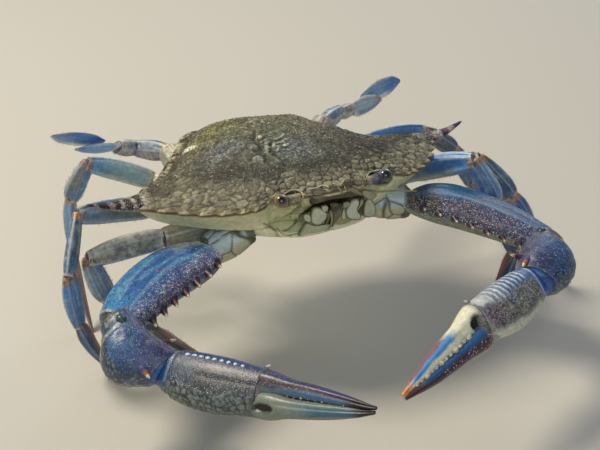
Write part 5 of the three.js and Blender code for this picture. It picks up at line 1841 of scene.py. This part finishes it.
def paintFinger(shape, segment, which):
    left = segment["side"] > 0
    t, turn, wave, run = fresh(shape, "#d4d6c6", 0.42, 0.2)
    relief = 0
    if which == "moving" and not left:
        lay(shape, "#3d5f9c", stretch(wave, -100, 82 + 24 * (1 - step(0.1, 0.35, t)), 9))
        layAll(shape, [
            ["#5a4aa6", 0.85, {"wave": [-100, 80, 9], "run": [0.38, 0.8, 0.1]}],
            ["#8f6a55", 0.6, {"wave": [58, 104, 8], "t": [0.45, 0.3]}],
            ["#a44a64", 0.8, {"wave": [78, 12], "run": [0.3, 0.85, 0.08]}],
            ["#6fb2d8", 0.75, {"wave": [96, 200, 9], "run": [0.22, 0.85, 0.1]}],
        ])
        gritOf(shape, stretch(turn, 20, 104, 8) * (1 - step(0.4, 0.6, t)) * 0.8, "#c9905c", 0.75)
        lay(shape, "#3a1d2c", step(0.74, 0.86, run))
    if which == "fixed" and not left:
        layAll(shape, [
            ["#a9c8da", 0.8, {"wave": [60, 150, 12], "run": [0.4, 0.95, 0.1]}],
            ["#4f93c0", 0.8, {"wave": [84, 150, 8], "run": [0.55, 0.92, 0.06]}],
            ["#2a1c2c", 1, {"run": [0.84, 0.93]}],
        ])
        net = pebbles(shape["spots"], 1.8, 21)[0]
        root = (1 - step(0.1, 0.17, run)) * step(116, 128, wave)
        lay(shape, "#8d9594", root * 0.8)
        lay(shape, "#18202c", root * (1 - step(0.05, 0.17, net)) * 0.9)
    if which == "moving" and left:
        layAll(shape, [
            ["#2f7fce", 0.95, {"wave": [30, 86, 9], "run": [0.3, 0.9, 0.06]}],
            ["#8a3f3c", 0.95, {"wave": [-70, 34, 9], "run": [0.3, 0.45]}],
            ["#5b3f6c", 0.7, {"wave": [34, 7], "run": [0.35, 0.5]}],
            ["#d28a4c", 1, {"run": [0.88, 0.95]}],
        ])
    if which == "fixed" and left:
        layAll(shape, [
            ["#1f84d2", 0.95, {"wave": [40, 92, 8], "run": [0.16, 0.84, 0.05]}],
            ["#4a2a48", 0.95, {"wave": [88, 150, 9], "run": [0.1, 0.2]}],
            ["#6b3438", 0.9, {"wave": [30, 150, 9], "run": [0.78, 0.9]}],
        ])
        gritOf(shape, stretch(turn, 92, 140, 8) * (1 - step(0.6, 0.8, t)) * 0.8, "#d9cbd0", 0.8)
        lay(shape, "#b9bcae", stretch(wave, 150, 230, 8) * 0.7)
    relief = relief + 0.22 * wrapBell(turn, 62, 14) - 0.16 * wrapBell(turn, 92, 9)
    gape = wrapBell(turn, fingerTeeth["gapeTurn"][which], fingerTeeth["gape"][segment["sideName"]])
    gape = gape * stretch(t, 0.06, 0.9, 0.05)
    relief = relief - 0.6 * gape
    lay(shape, "#5a4d38", step(0.35, 0.9, gape) * 0.8)
    if which + segment["sideName"] in claws["shadedGaps"]:
        place, middle, length, width = claws["shadedGaps"][which + segment["sideName"]]
        # sunk, and painted near black as painted shade in the opening
        gap = bell(t, place, length) * wrapBell(turn, middle, width)
        relief = relief - 1.3 * step(0.3, 0.7, gap)
        lay(shape, "#0d0b0c", step(0.3, 0.5, gap))
    shape["paint"] = shape["paint"] * claws["tones"][which + segment["sideName"]]
    shape["grit"] = shape["grit"] * step(0.02, 0.08, t)
    lay(shape, "#6b5a4a", (1 - step(0.0, 0.04, t)) * 0.5)
    return relief * (shape["reach"] > 0.99)


# Walking and swimming legs, a row for each segment from the root: colours of the upper edge, the
# front face, the lower edge, the near end and the far end, then how granular the front face is.
legPaint = {
    "leg2_R": [
        ["#c9c3a4", "#b9b494", "#a8ac90", "#c9c9b4", "#bdb592", 0.1],
        ["#dfdfd2", "#aaa48e", "#2c6cb2", "#e3e2d6", "#b3ab92", 0.9],
        ["#b8c6cf", "#5f84a8", "#2f68a8", "#7a4a35", "#3f6fa4", 0.4],
        ["#7f9fb8", "#3c5f84", "#46607a", "#8a6a4f", "#4a6272", 0.2],
        ["#3e5560", "#3c4a3f", "#7a4a33", "#4a4a3c", "#7d5236", 0.0],
    ],
    "leg3_R": [
        ["#c9cbb8", "#b5bba8", "#a8ac90", "#c9c9b4", "#b8c4c4", 0.0],
        ["#b4cfe0", "#8a9a94", "#6f93b4", "#dfe2da", "#6a7ea4", 0.3],
        ["#4a78a6", "#55676c", "#3f6a98", "#7a5a54", "#3f72ae", 0.6],
        ["#4f98dc", "#3f7cbc", "#3a6aac", "#8a6a5c", "#3d6cac", 0.2],
        ["#2f5f9e", "#35507c", "#8a4a38", "#5c4a5c", "#7a3f30", 0.0],
    ],
    "leg4_R": [
        ["#b3ae8e", "#a39e7c", "#8f8f72", "#b3ae8e", "#b3ab86", 0.2],
        ["#d9e6e4", "#9fc4cc", "#b4c0b4", "#e4dab4", "#5fa0dc", 0.2],
        ["#d3dde0", "#7d8478", "#4a82b8", "#8c6a80", "#4f88c0", 0.4],
        ["#a9c6dc", "#6d9dc6", "#4a78a8", "#b58a66", "#4f82b4", 0.1],
        ["#5a88b4", "#3f6da2", "#7a5236", "#8a6a4c", "#7a5236", 0.0],
    ],
    "leg2_L": [
        ["#b8c0b4", "#a8b2a8", "#a8ac90", "#c9c9b4", "#9fb0b4", 0.0],
        ["#8fc0ea", "#3f78b4", "#bfc0ac", "#8fa0a6", "#4c9be0", 0.2],
        ["#b9d6ea", "#5f93c6", "#3474bc", "#a8826a", "#4f8ccc", 0.4],
        ["#2f6cb8", "#245292", "#2a4f88", "#b5764c", "#2f5c9c", 0.1],
        ["#28518e", "#2f4f82", "#9c4630", "#6a4a4c", "#9c4630", 0.0],
    ],
    "leg3_L": [
        ["#b8c0b4", "#a8b2a8", "#a8ac90", "#c9c9b4", "#9fb0b4", 0.0],
        ["#4a86c6", "#2f68ae", "#6a8094", "#9fb0b4", "#2f6cb8", 0.2],
        ["#3f76ac", "#44647c", "#2f5484", "#9c6f52", "#2f5c94", 0.3],
        ["#2f72c0", "#1f4f96", "#25508e", "#c08a5c", "#28589c", 0.1],
        ["#28589c", "#2a4a80", "#8c4434", "#6a4a4c", "#7a3c30", 0.0],
    ],
    "leg4_L": [
        ["#a8b8b8", "#98a8a8", "#a8ac90", "#c9c9b4", "#8fa4b4", 0.0],
        ["#3f82c8", "#3a74b8", "#7a8c94", "#8fa0a6", "#3f82c8", 0.1],
        ["#3a6c9c", "#5d6f70", "#48607a", "#8c6a80", "#3a6498", 0.2],
        ["#4a8ccc", "#3f74ae", "#3a6498", "#b58a66", "#3f74ae", 0.1],
        ["#3f74ae", "#35609a", "#7a5236", "#7a5a4c", "#7a5236", 0.0],
    ],
    "swim_R": [
        ["#9c9678", "#8a8566", "#7f7a5e", "#9c9678", "#a39a74", 0.5],
        ["#6a84a4", "#8b8f9c", "#8a6244", "#b5a888", "#5f6a98", 0.9],
        ["#7a90b0", "#8a8fa4", "#93683f", "#6a5a80", "#d0d4d6", 0.8],
        ["#dfecf0", "#3f94dc", "#b4d4e4", "#e8ecea", "#3a80d0", 0.0],
        ["#3c7cc4", "#3b84d4", "#e6e6d6", "#5a8ab8", "#d9d4b8", 0.0],
    ],
    "swim_L": [
        ["#b5b09a", "#9c9a88", "#a8a888", "#b5b09a", "#9c9a88", 0.4],
        ["#4a90cc", "#7a8c9c", "#a8a08c", "#b0a898", "#4a90cc", 0.8],
        ["#d6cfc0", "#a8a4a0", "#c9c0a8", "#b5a890", "#d9cfb8", 0.7],
        ["#e3e8e6", "#9fbccc", "#e0e4e0", "#b8c6c8", "#a86a64", 0.0],
        ["#e6e9e4", "#3f8ccc", "#e9e9dc", "#a9b6b8", "#2a78c8", 0.0],
    ],
}


# Ridges along a leg: turn, colour, half width in degrees, height in mm, strength of the colour.
legEdges = {
    "all": [[0, "#e3e2d6", 7, 0.22, 0.75], [-178, "#e3e2d6", 7, 0.22, 0.75]],
    "walking": [[-62, "#9fbccf", 5, 0.3, 0.28], [-122, "#8fa9ba", 5, 0.25, 0.2]],
}
# How thickly each segment's edges are fringed with bristles.
legFringe = {"merus": 0.35, "carpus": 0.8, "propodus": 1.0, "dactyl": 0.9, "paddle": 1.0}


def paintLeg(shape, segment, part):
    limb = segment["kind"] + "_" + segment["sideName"]
    upper, front, lower, near, far, rough = legPaint[limb][segment["index"]]
    t, turn, wave, run = fresh(shape, front, 0.36, 0.5)
    blade = part in ("propodus", "paddle") and segment["kind"] == "swim"
    mottle = cloud(shape["spots"], 2.4, 5)
    lay(shape, upper, wrapBell(wave, 0, 36) * 0.85)
    lay(shape, lower, (1 - stretch(wave, -112, 200, 14)) * 0.9 + wrapBell(wave, 140, 40) * 0.7)
    layAll(shape, [
        [near, 0.85, {"run": [0.19, 0.04]}],
        [far, 0.75, {"run": [0.62, 0.9]}],
    ])
    lay(shape, "#d8d6c4", rough * step(0.55, 0.7, mottle) * 0.35)
    lay(shape, "#4a4438", rough * step(0.45, 0.3, mottle) * 0.4)
    dots = cloud(shape["spots"], 1.2, 7)
    lay(shape, "#e6e2d2", rough * step(0.54, 0.66, dots) * 0.45)
    lay(shape, "#3a3226", rough * step(0.46, 0.34, dots) * 0.5)
    film = step(0.42, 0.62, cloud(shape["spots"], 3.4, 33))
    lay(shape, "#6f7059", film * stretch(turn, -135, -20, 14) * (0.05 if blade else 0.22))
    streak = grain(np.stack([turn / 9, t * segment["length"] / 9, 0 * t], -1), 1.0, 29)
    lay(shape, "#bcd3df", step(0.6, 0.8, streak) * 0.3)
    lay(shape, "#1f3f66", step(0.4, 0.2, streak) * 0.3)
    edges = legEdges["all"] + ([] if blade else legEdges["walking"])
    relief = sum(raisedEdge(shape, *edge) for edge in edges)
    if not blade:
        relief = relief - 0.38 * wrapBell(turn, -32, 12) - 0.42 * wrapBell(turn, -92, 18)
        relief = relief - 0.3 * wrapBell(turn, -150, 12) - 0.3 * wrapBell(turn, 90, 40)
        lay(shape, "#24344a", wrapBell(turn, -92, 10) * stretch(t, 0.1, 0.9, 0.08) * 0.25)
    fringed = legFringe.get(part, 0) * stretch(t, 0.12, 0.96, 0.05)
    onUpper = 0 if part == "merus" else 0.5
    shape["fringe"] = fringed * (wrapBell(turn, 180, 8) + onUpper * wrapBell(turn, 0, 7))
    lay(shape, "#6b4f3a", step(0.2, 0.7, shape["fringe"]) * 0.5)
    if part == "paddle":
        lay(shape, "#2a6fbe", step(0.45, 0.8, run) * stretch(wave, -140, -20, 16) * 0.7)
    if part == "propodus" and blade:
        lay(shape, "#2b6cb6", wrapBell(wave, -118, 20) * stretch(run, 0.25, 0.9, 0.08) * 0.85)
    if rough:
        granular = rough * stretch(turn, -130, 60, 14) * stretch(t, 0.08, 0.95, 0.04)
        gritOf(shape, granular, "#cfcabb", 0.6)
    if not segment["last"]:
        jointEnds(shape, [near, "#c79a6c", "#6a4a66", "#dcd0b4"], 0.1, 0.93)
    return relief * (shape["reach"] > 0.99)


armSpines = {
    "arm": {
        "count": 8, "from": 0.16, "to": 0.95, "turnFrom": 5, "turnTo": -18, "height": 5.0, "radius": 2.45,
        "sizes": {"R": 1.0, "L": 0.62},
        "colours": [[0, "#6a5b70"], [0.22, "#34202c"], [0.6, "#5a3430"], [0.82, "#e8dcc0"]],
    },
    "wrist": {
        "at": {"R": (0.7, 0), "L": (0.7, 0)}, "height": 5.2, "radius": 1.7,
        "colours": [[0, "#4a3a6a"], [0.35, "#5a2428"], [0.72, "#e6d8bc"]],
    },
    "wristEnd": {
        "at": {"R": (0.93, 122), "L": (0.92, 24)}, "height": 4.0, "radius": 1.8, "lean": 2.6,
        "colours": [[0, "#4a4a7a"], [0.35, "#a5623a"], [0.68, "#ece2cc"]],
    },
    "hand": {
        "at": {"R": (0.97, 0), "L": (0.97, 0)}, "height": 2.4, "radius": 1.25,
        "colours": [[0, "#4a3a6a"], [0.4, "#8d7890"], [0.6, "#eeebe2"]],
    },
    "condyle": {"at": {"R": (0.1, 74), "L": (0.1, 42)}, "sizes": [2.0, 1.7, 1.5], "colour": "#2f4a4c"},
    "beads": {   # on the right palm, each a little shorter than the last
        "count": 9, "from": 0.27, "pitch": 0.068, "turn": 43, "sizes": [1.05, 0.62, 0.45],
        "shorter": 0.05, "colour": "#d9e2ea",
    },
}


def fingerRoot(t):
    return 1.6 * (1 - step(0.0, 0.28, t))


def fixedRoot(t):
    return 0.9 * bell(t, 0.22, 0.1)


# Between two segments lies a soft membrane; it fills the cup that the far end makes.
membranes = {
    "share": 0.93, "bulge": 0.42,
    "colours": {"ischium": "#6f7560", "merus": "#3a4a5c", "carpus": "#1a559c", "palm": "#6d6a62",
                "propodus": "#6a5a4c", "leg": "#5a5c66"},
}


def membraneShape(segment, part, kind):
    half = through(segment["breadth"], 1.0) * membranes["share"]
    name = part if kind == "claw" or part == "propodus" else "leg"
    shape = knob(segment["end"] + segment["along"] * 0.1, segment["along"],
                 [half, half * segment["thick"], half * membranes["bulge"]],
                 membranes["colours"][name], segment["edge"], around=28, rows=12, gloss=0.35, sink=0)
    mottle = cloud(shape["spots"], 1.4, 7)
    lay(shape, "#b9a98c", step(0.55, 0.7, mottle) * 0.45)
    lay(shape, "#2b2326", step(0.42, 0.3, mottle) * 0.5)
    return shape


# The blunt teeth that line the gap between the two fingers.
fingerTeeth = {
    "count": 13, "from": 0.14, "to": 0.86, "turns": {"R": (141, 22), "L": (139, 18)},
    "size": {"R": 0.6, "L": 1.75}, "gape": {"R": 9, "L": 16}, "gapeTurn": {"moving": 155, "fixed": 8},
    "sizes": [0.8, 0.62, 0.9], "shrink": 0.45, "colours": ["#e6e0c6", "#9c9272"],
}


def fingerTeethShapes(segment, which):
    shapes = []
    turn = fingerTeeth["turns"][segment["sideName"]][0 if which == "moving" else 1]
    for i in range(fingerTeeth["count"]):
        share = i / (fingerTeeth["count"] - 1)
        size = (1 - fingerTeeth["shrink"] * share) * (1.15 if i % 3 == 1 else 0.85)
        size = size * fingerTeeth["size"][segment["sideName"]]
        t = mix(fingerTeeth["from"], fingerTeeth["to"], share)
        foot, way = surfaceSpot(segment, t, turn)
        tooth = knob(foot - way * 0.35, way, [size * value for value in fingerTeeth["sizes"]],
                     fingerTeeth["colours"][0], segment["along"], around=12, rows=8, sink=0)
        lay(tooth, fingerTeeth["colours"][1], step(0.1, -0.5, (tooth["spots"] - foot) @ way) * 0.8)
        shapes.append(tooth)
    return shapes


def clawExtras(part, segment):
    extras, sideName = [], segment["sideName"]
    if part == "dactyl":
        extras += fingerTeethShapes(segment, "moving")
    if part == "merus":
        row = armSpines["arm"]
        size = row["sizes"][sideName]
        spine = {**row, "height": row["height"] * size, "radius": row["radius"] * size ** 0.5}
        for share in np.arange(row["count"]) / (row["count"] - 1):
            extras.append(standingSpine(segment, spine, mix(row["from"], row["to"], share),
                                        mix(row["turnFrom"], row["turnTo"], share)))
    if part == "carpus":
        for key in ("wrist", "wristEnd"):
            extras.append(standingSpine(segment, armSpines[key], *armSpines[key]["at"][sideName]))
        ball = armSpines["condyle"]
        foot, way = surfaceSpot(segment, *ball["at"][sideName])
        extras.append(knob(foot, way, ball["sizes"], ball["colour"], segment["along"],
                           around=24, rows=14, gloss=0.15, sink=0.4))
    if part == "palm":
        extras += fingerTeethShapes(segment["fixed"], "fixed")
        extras.append(standingSpine(segment, armSpines["hand"], *armSpines["hand"]["at"][sideName]))
        beads = armSpines["beads"]
        for i in range(beads["count"] if segment["side"] < 0 else 0):
            foot, way = surfaceSpot(segment, beads["from"] + beads["pitch"] * i, beads["turn"])
            long, broad, high = beads["sizes"]
            extras.append(knob(foot, way, [long - beads["shorter"] * i, broad, high], beads["colour"],
                               segment["along"]))
    return extras


pieceFinish = {"claw": "glazedClawChitin", "leg": "smoothLegChitin", "swim": "smoothLegChitin"}
painters = {"ischium": paintClawRoot, "merus": paintArm, "carpus": paintWrist, "palm": paintPalm}
scatterLayers = ("grit", "gritPaint", "fringe")
grittyShapes, fringedShapes = {"clawR": [], "clawL": [], "leg": []}, []


def paintSegment(skin, segment, part):
    if segment["kind"] != "claw":
        return paintLeg(skin, segment, part)
    if part == "dactyl":
        return paintFinger(skin, segment, "moving")
    return painters[part](skin, segment)


def segmentShapes(segment, part):
    kind = segment["kind"]
    skin = segmentSkin(segment, swell=fingerRoot if kind == "claw" and part == "dactyl" else None)
    shapes = [shiftOut(skin, paintSegment(skin, segment, part))]
    if not segment["last"]:
        shapes.append(membraneShape(segment, part, kind))
    if kind == "claw":
        shapes += clawExtras(part, segment)
    if "fixed" in segment:
        fixed = segmentSkin(segment["fixed"], swell=fixedRoot, closing="point")
        shapes.append(shiftOut(fixed, paintFinger(fixed, segment["fixed"], "fixed")))
    for shape in shapes:
        keepInside(shape)
    return shapes


for limbName in limbs["stance"]:
    kind, sideName = limbName.split("_")
    family = familyOf(kind)
    for segment in layLimb(limbName):
        part = limbs["parts"][family][segment["index"]]
        shapes = segmentShapes(segment, part)
        gritty = grittyShapes["claw" + sideName if kind == "claw" else "leg"]
        gritty += [shape for shape in shapes if "gritPaint" in shape]
        fringedShapes += [shape for shape in shapes if "fringe" in shape and shape["fringe"].max() > 0]
        bare = [{key: shape[key] for key in shape if key not in scatterLayers} for shape in shapes]
        addPiece(sideWords[sideName] + kind.capitalize() + part.capitalize(), join(bare),
                 pieceFinish[family], f"{kind}_{sideName}_{part}")
for sideName, word in sideWords.items():
    addScattered(word + "ClawGranules", grittyShapes["claw" + sideName], granules["claw"],
                 "glazedClawChitin")
addScattered("legGranules", grittyShapes["leg"], granules["leg"], "smoothLegChitin")
addScattered("legFringe", fringedShapes, bristles, "hornyMouthpartChitin", bristlesOnSkin)
print("limbs shaped")


# Floor and light.
studio = {
    "floor": "#c9c6bc", "halfWidth": 4, "world": "#c4ccd4", "worldStrength": 0.3,
    "aim": [0, 0, 0.04],       # where the lights look
    "lights": [   # name, place in m, size in m, watts, colour
        ["keyLight", [-0.42, 0.40, 0.78], 0.3, 8.0, "#fff3df"],
        ["fillLight", [-0.35, -0.75, 0.55], 0.7, 2.6, "#eef3ff"],
        ["rimLight", [0.6, 0.5, 0.5], 0.5, 1.6, "#f4f6ff"],
    ],
}


def floorMaterial():
    # matt seamless studio paper: almost even, with a faint fibre
    material, tree = newMaterial("mattStudioPaper")
    place = addNode(tree, "ShaderNodeTexCoord").outputs["Object"]
    fibre = addNode(tree, "ShaderNodeTexNoise", {"Scale": 900.0, "Detail": 2.0}, {"Vector": place})
    tint = addNode(tree, "ShaderNodeMapRange", {"To Min": 0.97, "To Max": 1.03},
                   {"Value": fibre.outputs["Fac"]})
    colour = addNode(tree, "ShaderNodeVectorMath",
                     {"operation": "SCALE", 0: toLinear(studio["floor"]).tolist()},
                     {"Scale": tint.outputs["Result"]})
    surface = addNode(tree, "ShaderNodeBsdfPrincipled", {"Roughness": 0.9},
                      {"Base Color": colour.outputs[0]})
    addNode(tree, "ShaderNodeOutputMaterial", links={"Surface": surface.outputs[0]})
    return material


floorMesh = bpy.data.meshes.new("studioFloor")
corners = [(x * studio["halfWidth"], y * studio["halfWidth"], 0)
           for x, y in ((-1, -1), (1, -1), (1, 1), (-1, 1))]
floorMesh.from_pydata(corners, [], [(0, 1, 2, 3)])
floorMesh.materials.append(floorMaterial())
studioFloor = bpy.data.objects.new("studioFloor", floorMesh)
bpy.context.scene.collection.objects.link(studioFloor)
for name, spot, size, watts, colour in studio["lights"]:
    lamp = bpy.data.lights.new(name, "AREA")
    lamp.shape, lamp.size, lamp.energy = "DISK", size, watts
    lamp.color = toLinear(colour).tolist()
    light = bpy.data.objects.new(name, lamp)
    back = unit(np.array(spot) - studio["aim"])
    side = unit(np.cross([0, 0, 1.0], back))
    turn = Matrix(np.stack([side, np.cross(back, side), back], 1).tolist()).to_4x4()
    turn.translation = spot
    light.matrix_world = turn
    bpy.context.scene.collection.objects.link(light)
world = bpy.data.worlds.new("softSky")
world.use_nodes = True
backdrop = world.node_tree.nodes["Background"].inputs
backdrop["Color"].default_value = [*toLinear(studio["world"]), 1]
backdrop["Strength"].default_value = studio["worldStrength"]
bpy.context.scene.world = world
print("studio set")
